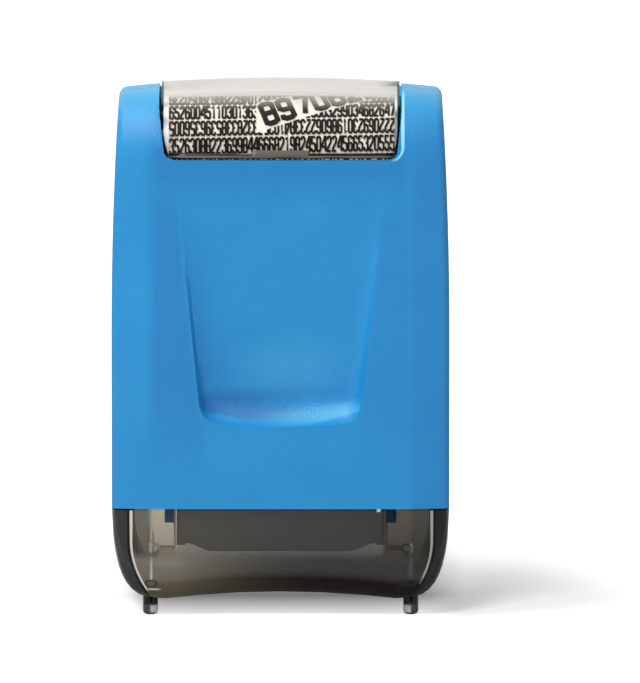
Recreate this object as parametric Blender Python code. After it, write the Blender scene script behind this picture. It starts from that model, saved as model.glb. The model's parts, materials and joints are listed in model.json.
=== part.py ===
"""A privacy roller stamp: a wide type drum between the two ears of a clamshell housing, under a
clear crowned cover that swings back, fed by an ink cartridge that slides out of the tail behind
a smoky cap on four small feet.

Metres, +Z up. X runs across the object, the front faces -Y, and the feet stand on Z = 0.
"""
import bpy
import bmesh
from math import cos, hypot, pi, radians, sin, sqrt
from mathutils import Vector

MM = 0.001

# Clearances
GAP = 0.3 * MM                # between pieces that seat on each other
RUN_GAP = 0.45 * MM           # round what turns or slides
OVERRUN = 2.0 * MM            # how far a cutter reaches past what it cuts
FUSE = 0.6 * MM               # how far a rib or boss is sunk into its wall
SLIVER = 0.1 * MM             # keeps the faces of two cuts from lying on each other

# Drum
AXIS_Z = 76.2 * MM
TYPE_RADIUS = 11.0 * MM
SLEEVE_WALL = 1.4 * MM
SLEEVE_HALF = 19.1 * MM
SLEEVE_EDGE = 0.28 * MM       # chamfer at its ends
CORE_INSET = 0.9 * MM         # the core ends this far inside the sleeve
CORE_RIM_WALL = 1.1 * MM
CORE_HUB_RADIUS = 4.2 * MM
CORE_WEB_HALF = 0.8 * MM
CORE_WEB_HOLE_RADIUS = 1.2 * MM
CORE_WEB_HOLES = 6
BUSH_WALL = 0.9 * MM
BUSH_DEPTH = 5.0 * MM
BUSH_FLANGE = 0.5 * MM
BUSH_FLANGE_RADIUS = 3.6 * MM

# Drum cover
COVER_WALL = 0.55 * MM
COVER_CROWN = 0.65 * MM       # how much higher its middle is than its ends
COVER_CHEEK = 0.5 * MM
COVER_BEAD = 0.35 * MM        # the front bar and the finger tab stand this proud
COVER_TAB_HALF = 4.4 * MM
COVER_TAB_EDGE = 0.25 * MM
COVER_HUB_RADIUS = 3.6 * MM
COVER_FRONT_DEG = 2.3
COVER_BAR_DEG = 4.4
COVER_TAB_DEG = 8.4
COVER_BACK_DEG = 141.0
COVER_TRAVEL_DEG = 118.0
COVER_BORE_SHARE = 0.6        # share of the crown that its bore follows
STEP_DEG = 0.35               # the bead's own slope, in degrees round the axis
COVER_END_ROOM = 1.0 * MM     # from the sleeve's end to the ear
COVER_SWEEP = TYPE_RADIUS + RUN_GAP + COVER_WALL + COVER_CROWN + RUN_GAP  # it clears this

# Window and drum bay in the housing
LIP_DEG = 1.1
BAY_LIP_DEG = 0.4             # the swept space starts this much above the lip
REAR_LIP_DEG = 137.0
BAY_HALF = SLEEVE_HALF + COVER_END_ROOM
WINDOW_SLANT = 0.85 * MM      # its sides draw in by this much at the lip
WINDOW_FALL = 2.7 * MM        # the slant ends this far below the drum's top
WINDOW_HIGH_Z = AXIS_Z + TYPE_RADIUS - WINDOW_FALL
WINDOW_CORNER = 1.4 * MM
WINDOW_EASE_SHARE = 0.35      # its steps start this much closer than even ones
EAR_PLATE = 1.8 * MM
EAR_PLATE_FOOT = 1.1 * MM     # how far below the swept space it ends
EAR_PLATE_LOW_Z = AXIS_Z - COVER_SWEEP - EAR_PLATE_FOOT

# Axle and clips
AXLE_RADIUS = 1.5 * MM
AXLE_NECK_RADIUS = 1.1 * MM   # in the clips' grooves
AXLE_END = 1.8 * MM           # how far it reaches past the ear plates
AXLE_HALF = BAY_HALF + EAR_PLATE + AXLE_END
CLIP_RADIUS = 3.0 * MM
CLIP_THICKNESS = 0.6 * MM
CLIP_OPENING_DEG = 70.0

# Housing: outline
JOINT_Z = 18.3 * MM           # lower edge of the housing, on the cap
EAR_WIDTH = 8.05 * MM
HALF_WIDTH = BAY_HALF + EAR_WIDTH  # greatest half width
WALL = 1.8 * MM
WAIST_Z = 48.0 * MM           # above this the sides bow inwards
SIDE_BOW_RADIUS = 610.0 * MM
TAIL_HALF_DEPTH = 16.0 * MM
SWELL_Z = 34.0 * MM           # above this the front and the back draw in
HEAD_FRONT_WALL = 0.4 * MM    # left round the space that the cover sweeps
HEAD_BACK_WALL = 1.3 * MM
HEAD_FRONT = COVER_SWEEP + HEAD_FRONT_WALL
HEAD_BACK = COVER_SWEEP + HEAD_BACK_WALL
HEAD_OVER = 0.75 * MM
HEAD_RISE = TYPE_RADIUS + HEAD_OVER  # top of the head over the axis, on the centre line
CROWN_RADIUS = 300.0 * MM     # the head's top falls off to the sides on this radius
FRONT_ROUND_SETBACK = 3.0 * MM
EDGE_ROUND = 1.2 * MM         # side edges
FACET_FALL = 0.7 * MM         # how far the front panel's flanks fall back

# Thumb scoop in the front
SCOOP_LOW_Z = 32.1 * MM
SCOOP_TOP_DROP = 4.2 * MM     # it runs out this far under the axis
SCOOP_TOP_Z = AXIS_Z - SCOOP_TOP_DROP
SCOOP_DEPTH = 3.3 * MM
SCOOP_END_HEIGHT = 5.6 * MM   # height of its curved lower end
SCOOP_INSET = 2.8 * MM        # narrower than the drum by this on each side
SCOOP_DRAFT = 3.1 * MM        # and by this more at its lower end
SCOOP_HIGH_HALF = SLEEVE_HALF - SCOOP_INSET
SCOOP_LOW_HALF = SCOOP_HIGH_HALF - SCOOP_DRAFT
SCOOP_HIGH_DROP = 14.2 * MM
SCOOP_HIGH_Z = AXIS_Z - SCOOP_HIGH_DROP
SCOOP_SPREAD_SHARE = 1.15     # it widens up to this share of its stated height
SCOOP_RIM_SAG = 0.9 * MM      # the lower rim hangs lower in the middle
SCOOP_CORNER = 2.4 * MM
SCOOP_OUTER_SHARE = 1.05      # its outermost line, as a share of its half width
SCOOP_WIDEST = SCOOP_LOW_HALF + SCOOP_DRAFT * SCOOP_SPREAD_SHARE
FACET_MARGIN = 3.4 * MM
FACET_HALF_WIDTH = SCOOP_WIDEST * SCOOP_OUTER_SHARE + FACET_MARGIN  # flat front panel

# Shell screws and their bosses
SCREW_INSET = 3.95 * MM       # from the housing's side
SCREW_X = HALF_WIDTH - SCREW_INSET
SCREW_LOW_RISE = 9.7 * MM     # from the housing's lower edge
SCREW_HIGH_DROP = 6.1 * MM    # below the swept space
SCREW_LOW_Z = JOINT_Z + SCREW_LOW_RISE
SCREW_HIGH_Z = AXIS_Z - COVER_SWEEP - SCREW_HIGH_DROP
SCREW_HEIGHTS = (SCREW_LOW_Z, SCREW_HIGH_Z)
FRONT_BOSS_RADIUS = 2.1 * MM
REAR_BOSS_RADIUS = 2.7 * MM
SCREW_RADIUS = 1.1 * MM
SCREW_BITE = 8.0 * MM         # how deep it goes into the front boss
SCREW_HEAD_RADIUS = 1.9 * MM
SCREW_HEAD = 1.5 * MM
SCREW_SINK = 2.3 * MM         # depth of its counterbore
SCREW_DRIVE_RADIUS = 0.7 * MM
SCREW_DRIVE_DEPTH = 0.6 * MM
SCREW_TIP_SHARE = 0.6
SCREW_HEAD_EDGE_SHARE = 0.6   # height of the head's edge
SCREW_HEAD_TOP_SHARE = 0.7    # radius of the head's flat top

# Cartridge: its tank clears the screw bosses and the back of the scoop
TANK_SIDE_GAP = 0.5 * MM
TANK_FRONT_GAP = 0.7 * MM
TANK_HALF_X = SCREW_X - REAR_BOSS_RADIUS - TANK_SIDE_GAP
TANK_HALF_Y = TAIL_HALF_DEPTH - SCOOP_DEPTH - WALL - TANK_FRONT_GAP
TANK_WALL = 1.2 * MM
TANK_FLOOR_RISE = 0.7 * MM
TANK_FLOOR_Z = JOINT_Z + TANK_FLOOR_RISE
TAIL_STEP_X = 3.65 * MM       # the tail is this much narrower than the tank
TAIL_STEP_Y = 1.2 * MM
TAIL_HALF_X = TANK_HALF_X - TAIL_STEP_X
TAIL_HALF_Y = TANK_HALF_Y - TAIL_STEP_Y
TAIL_LOW_Z = 10.2 * MM
TAIL_LEG_RISE = 1.05 * MM     # the legs at its ends stop this much higher
TAIL_LEG = 1.45 * MM
TAIL_NOTCH = 0.3 * MM
TAIL_NOTCH_WIDTH = 0.7 * MM
TAIL_SLOPE_RUN = 3.2 * MM
PLUG_RADIUS = 0.8 * MM
PLUG_INSET = 1.15 * MM
PLUG_X = TAIL_HALF_X - PLUG_INSET
PLUG_DROP = 0.7 * MM
PLUG_Z = JOINT_Z - PLUG_DROP

# Yoke, ink roller and springs
ROLLER_RADIUS = 4.2 * MM
FELT_WALL = 1.6 * MM
ROLLER_AXLE_RADIUS = 0.8 * MM
YOKE_TRAVEL = 1.2 * MM
YOKE_THICKNESS = 2.0 * MM
YOKE_ARM = 0.8 * MM
YOKE_ARM_HALF_Y = 2.6 * MM
YOKE_ARM_INSET = 1.8 * MM     # from the yoke's front edge
YOKE_ARM_OVER = 1.8 * MM      # how far an arm reaches past its axle
YOKE_ROLLER_ROOM = 1.925 * MM
YOKE_HALF_X = TANK_HALF_X - TANK_WALL - 2 * GAP
YOKE_HALF_Y = TANK_HALF_Y - TANK_WALL - 2 * GAP
ROLLER_END_GAP = 0.2 * MM
ROLLER_HALF = YOKE_HALF_X - YOKE_ARM - ROLLER_END_GAP
ROLLER_REACH = TYPE_RADIUS + GAP + ROLLER_RADIUS
ROLLER_Y = YOKE_ARM_INSET + YOKE_ARM_HALF_Y - YOKE_HALF_Y
ROLLER_Z = AXIS_Z - sqrt(ROLLER_REACH ** 2 - ROLLER_Y ** 2)
PLATE_THICKNESS = 1.0 * MM
SPRING_RADIUS = 1.6 * MM
SPRING_WIRE = 0.25 * MM
SPRING_CURLS = 4
SPRING_POINTS = 9             # to a curl
SPRING_LENGTH = 6.4 * MM
SPRING_INSET = 8.0 * MM       # from the tank's side
SPRING_X = TANK_HALF_X - SPRING_INSET
SPRING_INSET_Y = 3.8 * MM
SPRING_Y = YOKE_HALF_Y - SPRING_INSET_Y
YOKE_HIGH_Z = ROLLER_Z - ROLLER_RADIUS - YOKE_ROLLER_ROOM
YOKE_LOW_Z = YOKE_HIGH_Z - YOKE_THICKNESS
SPRING_LOW_Z = YOKE_LOW_Z - GAP - SPRING_LENGTH
PLATE_LOW_Z = SPRING_LOW_Z - GAP - PLATE_THICKNESS
RESERVOIR_TOP_Z = PLATE_LOW_Z - GAP
TANK_OVER = 0.9 * MM          # the tank's rim stands this far over the yoke
TANK_TOP_Z = YOKE_HIGH_Z + TANK_OVER
WICK_INSET = 1.2 * MM
WICK_HALF_X = ROLLER_HALF - WICK_INSET
WICK_HALF_Y = 1.9 * MM
WICK_DIP = 2.6 * MM           # how far it dips into the reservoir's slot

# Cap and feet
CAP_WALL = 2.0 * MM
CAP_FLOOR = 1.5 * MM
CAP_LOW_Z = 2.95 * MM
CAP_ARCH_RISE = 1.15 * MM
CAP_CORNER_WIDTH = 8.95 * MM  # its lower corners start this far from its sides
CAP_ARCH_HALF = HALF_WIDTH - CAP_CORNER_WIDTH
CAP_EDGE = 3.4 * MM           # rounded upright edges
CAP_UNDER_ROUND = 2.4 * MM
CAP_ROUND_SHARE = 0.8         # most of the cap's height that the rounding takes
CAP_CORNER_POWER_ALONG = 3.2  # how square its lower corners are
CAP_CORNER_POWER_UP = 2.4
LIP_WALL = 1.15 * MM
LIP_RISE = 2.7 * MM
LIP_DROP = 1.2 * MM
LIP_CHAMFER = 1.4 * MM
RECESS_WALL = 1.1 * MM        # housing wall that is left where the lip goes in
CAP_RIB_INSET = 6.35 * MM
CAP_RIB_X = HALF_WIDTH - CAP_RIB_INSET
CAP_RIB = 0.8 * MM
CAP_RIB_DROP = 6.1 * MM
CAP_RIB_TOP_Z = JOINT_Z - CAP_RIB_DROP
FOOT_INSET_X = 6.4 * MM
FOOT_INSET_Y = 4.6 * MM
FOOT_X = HALF_WIDTH - FOOT_INSET_X
FOOT_Y = TAIL_HALF_DEPTH - FOOT_INSET_Y
FOOT_RADIUS = 1.25 * MM
FOOT_BITE = 1.05 * MM         # how far it goes up into the cap's floor
FOOT_TOP_Z = CAP_LOW_Z + FOOT_BITE
FOOT_ROUND = 0.6 * MM
FOOT_ROUND_SHARE = 0.3

# Tongues and guide ribs in the shells
TONGUE_OFF = 1.25 * MM        # from the side of the cartridge's tail
TONGUE_X = TAIL_HALF_X + TONGUE_OFF
TONGUE_WIDTH = 1.5 * MM
TONGUE_THICKNESS = 1.2 * MM
TONGUE_DROP = 2.8 * MM
TONGUE_LOW_Z = JOINT_Z - TONGUE_DROP
TONGUE_GAP = 0.9 * MM         # from the tank as it slides past
TONGUE_Y = TANK_HALF_Y + TONGUE_GAP
TONGUE_ROOT = 2.3 * MM
RIB_WIDTH = 1.2 * MM
RIB_TOP_DROP = 6.0 * MM
RIB_TOP_Z = TANK_TOP_Z - RIB_TOP_DROP

# Where points lie along the scoop and the profile, as shares
SCOOP_COLUMN_SHARES = (0.0, 0.35, 0.62, 0.78, 0.86, 0.92, 0.965, 1.0, SCOOP_OUTER_SHARE)
CAVITY_COLUMN_SHARES = (0.0, 0.5, 0.78, 0.9, 1.0, SCOOP_OUTER_SHARE)
SCOOP_WALL_SHARE = 0.76       # outside this share of the half width the scoop's side rises
SCOOP_CORNER_SHARE = 0.78
RIM_ROW_SHARES = (-0.04, 0.0, 0.03, 0.1, 0.22, 0.4, 0.65, 1.0)
FLOOR_ROW_SHARES = (0.12, 0.26, 0.4, 0.54, 0.68, 0.82, 1.0)
LOWER_ROW_SHARES = (0.0, 0.5)
BACK_ROW_SHARES = (0.0, 0.2, 0.4, 0.6, 0.8, 1.0)
SCOOP_EASE_SHARE = 0.4        # the share of the scoop's depth that grows evenly
CAP_COLUMN_SHARES = (0.0, 0.25, 0.5, 0.68, 0.78, 0.84, 0.88, 0.915, 0.94, 0.96, 0.978, 0.99, 1.0)
HOLLOW_COLUMN_SHARES = (0.0, 0.35, 0.68, 0.84, 0.92, 0.97, 1.0)

# How finely round shapes are divided
ROUND_STEPS = 3
FRONT_ROUND_POINTS = 8
BACK_ROUND_POINTS = 10
FRONT_ROUND_POWER = 2.2
BACK_ROUND_POWER = 4.0
CAP_ROUND_STEPS = 4
SLEEVE_SIDES = 44
CORE_SIDES = 30
ROLLER_SIDES = 28
BOSS_SIDES = 20
SMALL_SIDES = 14
HOLE_SIDES = 8
COVER_STEPS = 17
COVER_COLUMNS = 10
BAY_STEPS = 28
WINDOW_STEPS = 22
CLIP_STEPS = 14
SMOOTH_DEG = 35.0
SHELL_SMOOTH_DEG = 28.0

# Colour, roughness, metallic and alpha of each finish
FINISHES = {
    "blue_plastic": ((0.055, 0.30, 0.68), 0.38, 0.0, 1.0),
    "smoky_plastic": ((0.10, 0.09, 0.08), 0.12, 0.0, 0.6),
    "clear_plastic": ((0.85, 0.85, 0.83), 0.06, 0.0, 0.35),
    "foot_plastic": ((0.85, 0.85, 0.83), 0.15, 0.0, 0.6),
    "dark_plastic": ((0.045, 0.045, 0.05), 0.45, 0.0, 1.0),
    "grey_plastic": ((0.30, 0.31, 0.33), 0.45, 0.0, 1.0),
    "type_rubber": ((0.80, 0.76, 0.66), 0.6, 0.0, 1.0),
    "acetal": ((0.86, 0.85, 0.80), 0.4, 0.0, 1.0),
    "ink_felt": ((0.06, 0.06, 0.065), 0.9, 0.0, 1.0),
    "steel": ((0.60, 0.61, 0.63), 0.28, 1.0, 1.0),
    "bronze": ((0.55, 0.38, 0.16), 0.35, 1.0, 1.0),
}


def clear_scene():
    for thing in list(bpy.data.objects):
        bpy.data.objects.remove(thing, do_unlink=True)


def finish(name, colour, roughness, metallic, alpha):
    material = bpy.data.materials.new(name)
    material.use_nodes = True
    shader = material.node_tree.nodes["Principled BSDF"]
    shader.inputs["Base Color"].default_value = (*colour, 1.0)
    shader.inputs["Roughness"].default_value = roughness
    shader.inputs["Metallic"].default_value = metallic
    shader.inputs["Alpha"].default_value = alpha
    material.diffuse_color = (*colour, alpha)
    return material


def place(name, bm, material=None, pivot=Vector(), parent=None, smooth_deg=SMOOTH_DEG):
    """Make an object of a bmesh in world places, with its origin at the pivot."""
    bmesh.ops.recalc_face_normals(bm, faces=bm.faces[:])
    bmesh.ops.translate(bm, vec=-pivot, verts=bm.verts[:])
    mesh = bpy.data.meshes.new(name)
    bm.to_mesh(mesh)
    bm.free()
    piece = bpy.data.objects.new(name, mesh)
    bpy.context.scene.collection.objects.link(piece)
    mesh.shade_smooth()
    mesh.set_sharp_from_angle(angle=radians(smooth_deg))
    if material is not None:
        mesh.materials.append(material)
    piece.location = pivot
    if parent is not None:
        piece.parent = parent
        piece.location = pivot - parent.location
    return piece


def axis_empty(name, place_m):
    empty = bpy.data.objects.new(name, None)
    empty.location = place_m
    bpy.context.scene.collection.objects.link(empty)
    return empty


def cutter(name, bm):
    tool = place(name, bm)
    tool.hide_render = True
    tool.display_type = "WIRE"
    return tool


def combine(piece, tool, operation):
    step = piece.modifiers.new(tool.name, "BOOLEAN")
    step.operation = operation
    step.solver = "EXACT"
    step.object = tool


def cap_across(bm, row):
    """Close a ring with a ladder of quads between its rising and its falling half."""
    low, high = 0, len(row) - 1
    while low + 1 < high - 1:
        bm.faces.new((row[low], row[low + 1], row[high - 1], row[high]))
        low += 1
        high -= 1
    if low + 1 == high - 1:
        bm.faces.new((row[low], row[low + 1], row[high]))


def skin_rings(bm, rings, closed=False, ladder=False):
    """Bridge rings of equally many points with quads; cap the first and last unless closed."""
    rows = [[bm.verts.new(point) for point in ring] for ring in rings]
    pairs = list(zip(rows, rows[1:]))
    if closed:
        pairs.append((rows[-1], rows[0]))
    for near, far in pairs:
        count = len(near)
        for i in range(count):
            j = (i + 1) % count
            bm.faces.new((near[i], near[j], far[j], far[i]))
    if not closed:
        for row in (rows[0], rows[-1]):
            if ladder:
                cap_across(bm, row)
            else:
                bm.faces.new(row)
    return rows


def add_prism(bm, outline, axis, low, high):
    """Extrude an outline of (a, b) pairs along X (a, b = y, z), Y (x, z) or Z (x, y)."""
    def point(a, b, along):
        return {"X": (along, a, b), "Y": (a, along, b), "Z": (a, b, along)}[axis]
    skin_rings(bm, [[point(a, b, low) for a, b in outline],
                    [point(a, b, high) for a, b in outline]])


def add_box(bm, low, high):
    outline = ((low[0], low[1]), (high[0], low[1]), (high[0], high[1]), (low[0], high[1]))
    add_prism(bm, outline, "Z", low[2], high[2])


def circle(centre_a, centre_b, radius, count):
    return [(centre_a + radius * cos(2 * pi * i / count), centre_b + radius * sin(2 * pi * i / count))
            for i in range(count)]


def add_turned(bm, section, count, centre_y=0.0, centre_z=0.0):
    """Turn a closed section of (x, r) pairs fully about an X axis."""
    rings = []
    for i in range(count):
        turn = 2 * pi * i / count
        rings.append([(x, centre_y + r * cos(turn), centre_z + r * sin(turn)) for x, r in section])
    skin_rings(bm, rings, closed=True)


def add_spindle(bm, section, count, axis, centre_a, centre_b):
    """A solid of round slices: (along, radius) pairs on an axis through (a, b)."""
    def point(a, b, along):
        return {"X": (along, a, b), "Y": (a, along, b), "Z": (a, b, along)}[axis]
    skin_rings(bm, [[point(a, b, along) for a, b in circle(centre_a, centre_b, radius, count)]
                    for along, radius in section])


def add_tube(bm, low_x, high_x, inner, outer, count, centre_y=0.0, centre_z=0.0):
    add_turned(bm, ((low_x, inner), (low_x, outer), (high_x, outer), (high_x, inner)),
               count, centre_y, centre_z)


def around_axis(x, radius, angle_deg):
    """A point about the drum's axis; the angle rises from the front over the top."""
    angle = radians(angle_deg)
    return (x, -radius * cos(angle), AXIS_Z + radius * sin(angle))


def chamfered(half_x, half_y, chamfer):
    return [(half_x, half_y - chamfer), (half_x - chamfer, half_y), (chamfer - half_x, half_y),
            (-half_x, half_y - chamfer), (-half_x, chamfer - half_y), (chamfer - half_x, -half_y),
            (half_x - chamfer, -half_y), (half_x, chamfer - half_y)]


# Housing outline

def half_width(z):
    over = max(0.0, z - WAIST_Z)
    return HALF_WIDTH - over * over / (2 * SIDE_BOW_RADIUS)


def eased(share):
    share = min(1.0, max(0.0, share))
    return share * share * (3 - 2 * share)


def face_depth(z, head_depth):
    return TAIL_HALF_DEPTH - (TAIL_HALF_DEPTH - head_depth) * eased((z - SWELL_Z) / (AXIS_Z - SWELL_Z))


def facet_fall(x):
    span = HALF_WIDTH - EDGE_ROUND - FACET_HALF_WIDTH
    return FACET_FALL * min(1.0, max(0.0, (abs(x) - FACET_HALF_WIDTH) / span))


def crown_fall(x):
    return x * x / (2 * CROWN_RADIUS)


def scoop_half(z, inset):
    rise = (z - SCOOP_LOW_Z) / (SCOOP_HIGH_Z - SCOOP_LOW_Z)
    return SCOOP_LOW_HALF + SCOOP_DRAFT * min(SCOOP_SPREAD_SHARE, max(0.0, rise)) + inset


def scoop_rim(share, inset):
    """Height of the scoop's lower rim at a share of its half width."""
    share = min(1.0, abs(share))
    corner = max(0.0, (share - SCOOP_CORNER_SHARE) / (1 - SCOOP_CORNER_SHARE))
    sag = SCOOP_RIM_SAG * share * share
    return SCOOP_LOW_Z + sag + SCOOP_CORNER * (1 - sqrt(1 - corner * corner)) - inset


def scoop_depth(z, share, end_share):
    """Depth below the front face: across the scoop, along it and up its curved lower end."""
    across = min(1.0, max(0.0, (abs(share) - SCOOP_WALL_SHARE) / (1 - SCOOP_WALL_SHARE)))
    side = sqrt(max(0.0, 1 - across * across))
    end = sqrt(max(0.0, 1 - (1 - min(1.0, max(0.0, end_share))) ** 2))
    floor_z = SCOOP_LOW_Z + SCOOP_END_HEIGHT
    run = min(1.0, max(0.0, (SCOOP_TOP_Z - z) / (SCOOP_TOP_Z - floor_z)))
    return SCOOP_DEPTH * side * end * (SCOOP_EASE_SHARE * run + (1 - SCOOP_EASE_SHARE) * run * run)


def super_arc(half_a, half_b, power, count):
    """Points of a quarter superellipse from (half_a, 0) to (0, half_b)."""
    points = []
    for i in range(count + 1):
        turn = pi / 2 * i / count
        points.append((half_a * cos(turn) ** (2 / power) if i < count else 0.0,
                       half_b * sin(turn) ** (2 / power)))
    return points


def column_outline(column, inset, low_z):
    """The housing's outline in the plane of one column, as (x, y, z), inset by a wall."""
    kind, share, sign = column

    def column_x(z):
        edge = half_width(z) - inset
        if kind == "scoop":
            return share * scoop_half(z, inset)
        if kind == "panel":
            return FACET_HALF_WIDTH
        return edge - EDGE_ROUND * (1 - sin(pi / 2 * share))

    def fall(z):
        x = column_x(z)
        rounding = EDGE_ROUND * (1 - cos(pi / 2 * share)) if kind == "edge" else 0.0
        return facet_fall(x) + rounding + inset, crown_fall(x) + rounding + inset

    in_scoop = kind == "scoop"
    rim = scoop_rim(share if in_scoop else 1.0, inset if in_scoop else 0.0)
    floor_z = rim + SCOOP_END_HEIGHT
    rows = [(low_z + (rim - SCOOP_END_HEIGHT - low_z) * part, 0.0) for part in LOWER_ROW_SHARES]
    rows += [(rim + SCOOP_END_HEIGHT * part, part) for part in RIM_ROW_SHARES]
    rows += [(floor_z + (SCOOP_TOP_Z - floor_z) * part, 1.0) for part in FLOOR_ROW_SHARES]
    points = []
    for z, end_share in rows:
        depth = scoop_depth(z, share, end_share) if in_scoop else 0.0
        y = -face_depth(z, HEAD_FRONT) + fall(z)[0] + depth
        points.append((column_x(z), y, z))
    back, down = fall(AXIS_Z)
    top = HEAD_RISE - down
    reach = HEAD_FRONT - FRONT_ROUND_SETBACK - back
    for y, z in super_arc(reach, top, FRONT_ROUND_POWER, FRONT_ROUND_POINTS):
        points.append((column_x(AXIS_Z + z), -FRONT_ROUND_SETBACK - y, AXIS_Z + z))
    for y, z in reversed(super_arc(HEAD_BACK - back, top, BACK_ROUND_POWER, BACK_ROUND_POINTS)):
        points.append((column_x(AXIS_Z + z), y, AXIS_Z + z))
    for part in BACK_ROW_SHARES[1:]:
        z = AXIS_Z + (low_z - AXIS_Z) * part
        points.append((column_x(z), face_depth(z, HEAD_BACK) - fall(z)[0], z))
    return [(sign * x, y, z) for x, y, z in points]


def housing_columns(scoop_shares):
    half = [("scoop", share) for share in scoop_shares] + [("panel", 0.0)]
    half += [("edge", i / ROUND_STEPS) for i in range(ROUND_STEPS + 1)]
    left = [(kind, share, -1) for kind, share in reversed(half[1:])]
    return left + [(kind, share, 1) for kind, share in half]


def housing_body(inset, low_z, scoop_shares):
    bm = bmesh.new()
    outlines = [column_outline(column, inset, low_z) for column in housing_columns(scoop_shares)]
    skin_rings(bm, outlines, ladder=True)
    bmesh.ops.recalc_face_normals(bm, faces=bm.faces[:])
    return bm


def keep_side(bm, side, off=GAP / 2):
    """Keep the half in front (-1) or behind (+1) of the parting plane and close the cut."""
    cut = bmesh.ops.bisect_plane(bm, geom=bm.verts[:] + bm.edges[:] + bm.faces[:],
                                 plane_co=(0, side * off, 0), plane_no=(0, side, 0),
                                 clear_inner=True)
    edges = [item for item in cut["geom_cut"] if isinstance(item, bmesh.types.BMEdge)]
    bmesh.ops.holes_fill(bm, edges=edges, sides=0)
    return bm


# Drum cover shape, which the window and the bay follow

def cover_bore(x):
    """Inner radius of the cover."""
    rise = 1 - (x / SLEEVE_HALF) ** 2
    return TYPE_RADIUS + RUN_GAP + COVER_CROWN * COVER_BORE_SHARE * max(0.0, rise)


def cover_outer(x):
    rise = 1 - (x / SLEEVE_HALF) ** 2
    return TYPE_RADIUS + RUN_GAP + COVER_WALL + COVER_CROWN * max(0.0, rise)


def cover_bead(x, angle_deg):
    """How far the front bar and the finger tab stand out of the cover."""
    if angle_deg <= COVER_BAR_DEG:
        return COVER_BEAD
    if abs(x) <= COVER_TAB_HALF and angle_deg <= COVER_TAB_DEG:
        return COVER_BEAD
    return 0.0


def spread(half, count):
    return [-half + 2 * half * i / count for i in range(count + 1)]


def drum_cover(material, pivot):
    inner_half = SLEEVE_HALF + (BAY_HALF - SLEEVE_HALF - COVER_CHEEK) / 2
    outer_half = inner_half + COVER_CHEEK
    tab = (COVER_TAB_HALF, COVER_TAB_HALF + COVER_TAB_EDGE)
    outer_x = sorted(spread(outer_half, COVER_COLUMNS) + [-tab[1], -tab[0], tab[0], tab[1]])
    inner_x = spread(inner_half, COVER_COLUMNS)
    angles = [COVER_FRONT_DEG, COVER_BAR_DEG, COVER_BAR_DEG + STEP_DEG, COVER_TAB_DEG,
              COVER_TAB_DEG + STEP_DEG]
    start = angles[-1]
    angles += [start + (COVER_BACK_DEG - start) * (i + 1) / COVER_STEPS for i in range(COVER_STEPS)]
    hub = AXLE_RADIUS + RUN_GAP + (COVER_HUB_RADIUS - AXLE_RADIUS) / 2
    rings = []
    for angle in angles:
        ring = [around_axis(-outer_half, hub, angle)]
        ring += [around_axis(x, cover_outer(x) + cover_bead(x, angle), angle) for x in outer_x]
        ring += [around_axis(outer_half, hub, angle), around_axis(inner_half, hub, angle)]
        ring += [around_axis(x, cover_bore(x), angle) for x in reversed(inner_x)]
        ring += [around_axis(-inner_half, hub, angle)]
        rings.append(ring)
    bm = bmesh.new()
    skin_rings(bm, rings)
    hubs = bmesh.new()
    for low, high in ((-outer_half, -inner_half), (inner_half, outer_half)):
        add_tube(hubs, low, high, AXLE_RADIUS + GAP, COVER_HUB_RADIUS, BOSS_SIDES, 0.0, AXIS_Z)
    cover = place("drum_cover", bm, material, pivot)
    combine(cover, cutter("cover_hubs", hubs), "UNION")
    return cover


def bay_cutter():
    """The space that the cover sweeps, and the window that the drum shows through."""
    bay = bmesh.new()
    columns = spread(BAY_HALF, COVER_COLUMNS)
    inner = TYPE_RADIUS - 2 * OVERRUN
    start = LIP_DEG + BAY_LIP_DEG
    end = COVER_BACK_DEG + COVER_TRAVEL_DEG + LIP_DEG
    rings = []
    for i in range(BAY_STEPS + 1):
        angle = start + (end - start) * i / BAY_STEPS
        ring = [around_axis(x, cover_outer(x) + RUN_GAP, angle) for x in columns]
        ring += [around_axis(x, inner, angle) for x in (BAY_HALF, -BAY_HALF)]
        rings.append(ring)
    skin_rings(bay, rings)
    return bay


def window_cutter():
    """A wedge about the axis from the front lip over the top to the rear lip. Its sides slant
    in towards the lip, where its corners are round."""
    window = bmesh.new()
    reach = HEAD_BACK + TAIL_HALF_DEPTH
    near = TYPE_RADIUS - 2 * OVERRUN
    rings = []
    low_z = around_axis(0, HEAD_FRONT, LIP_DEG)[2]
    for i in range(WINDOW_STEPS + 1):
        share = i / WINDOW_STEPS
        share *= WINDOW_EASE_SHARE + (1 - WINDOW_EASE_SHARE) * share
        angle = LIP_DEG + (REAR_LIP_DEG - LIP_DEG) * share
        z = around_axis(0, HEAD_FRONT, angle)[2]
        slant = min(1.0, (z - low_z) / (WINDOW_HIGH_Z - low_z)) if angle < 90 else 1.0
        half = BAY_HALF + SLIVER - (WINDOW_SLANT + SLIVER) * (1 - slant)
        over = z - low_z
        if angle < 90 and over < WINDOW_CORNER:
            half -= WINDOW_CORNER - sqrt(WINDOW_CORNER ** 2 - (WINDOW_CORNER - over) ** 2)
        rings.append([around_axis(-half, near, angle), around_axis(-half, reach, angle),
                      around_axis(half, reach, angle), around_axis(half, near, angle)])
    skin_rings(window, rings)
    return window


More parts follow.
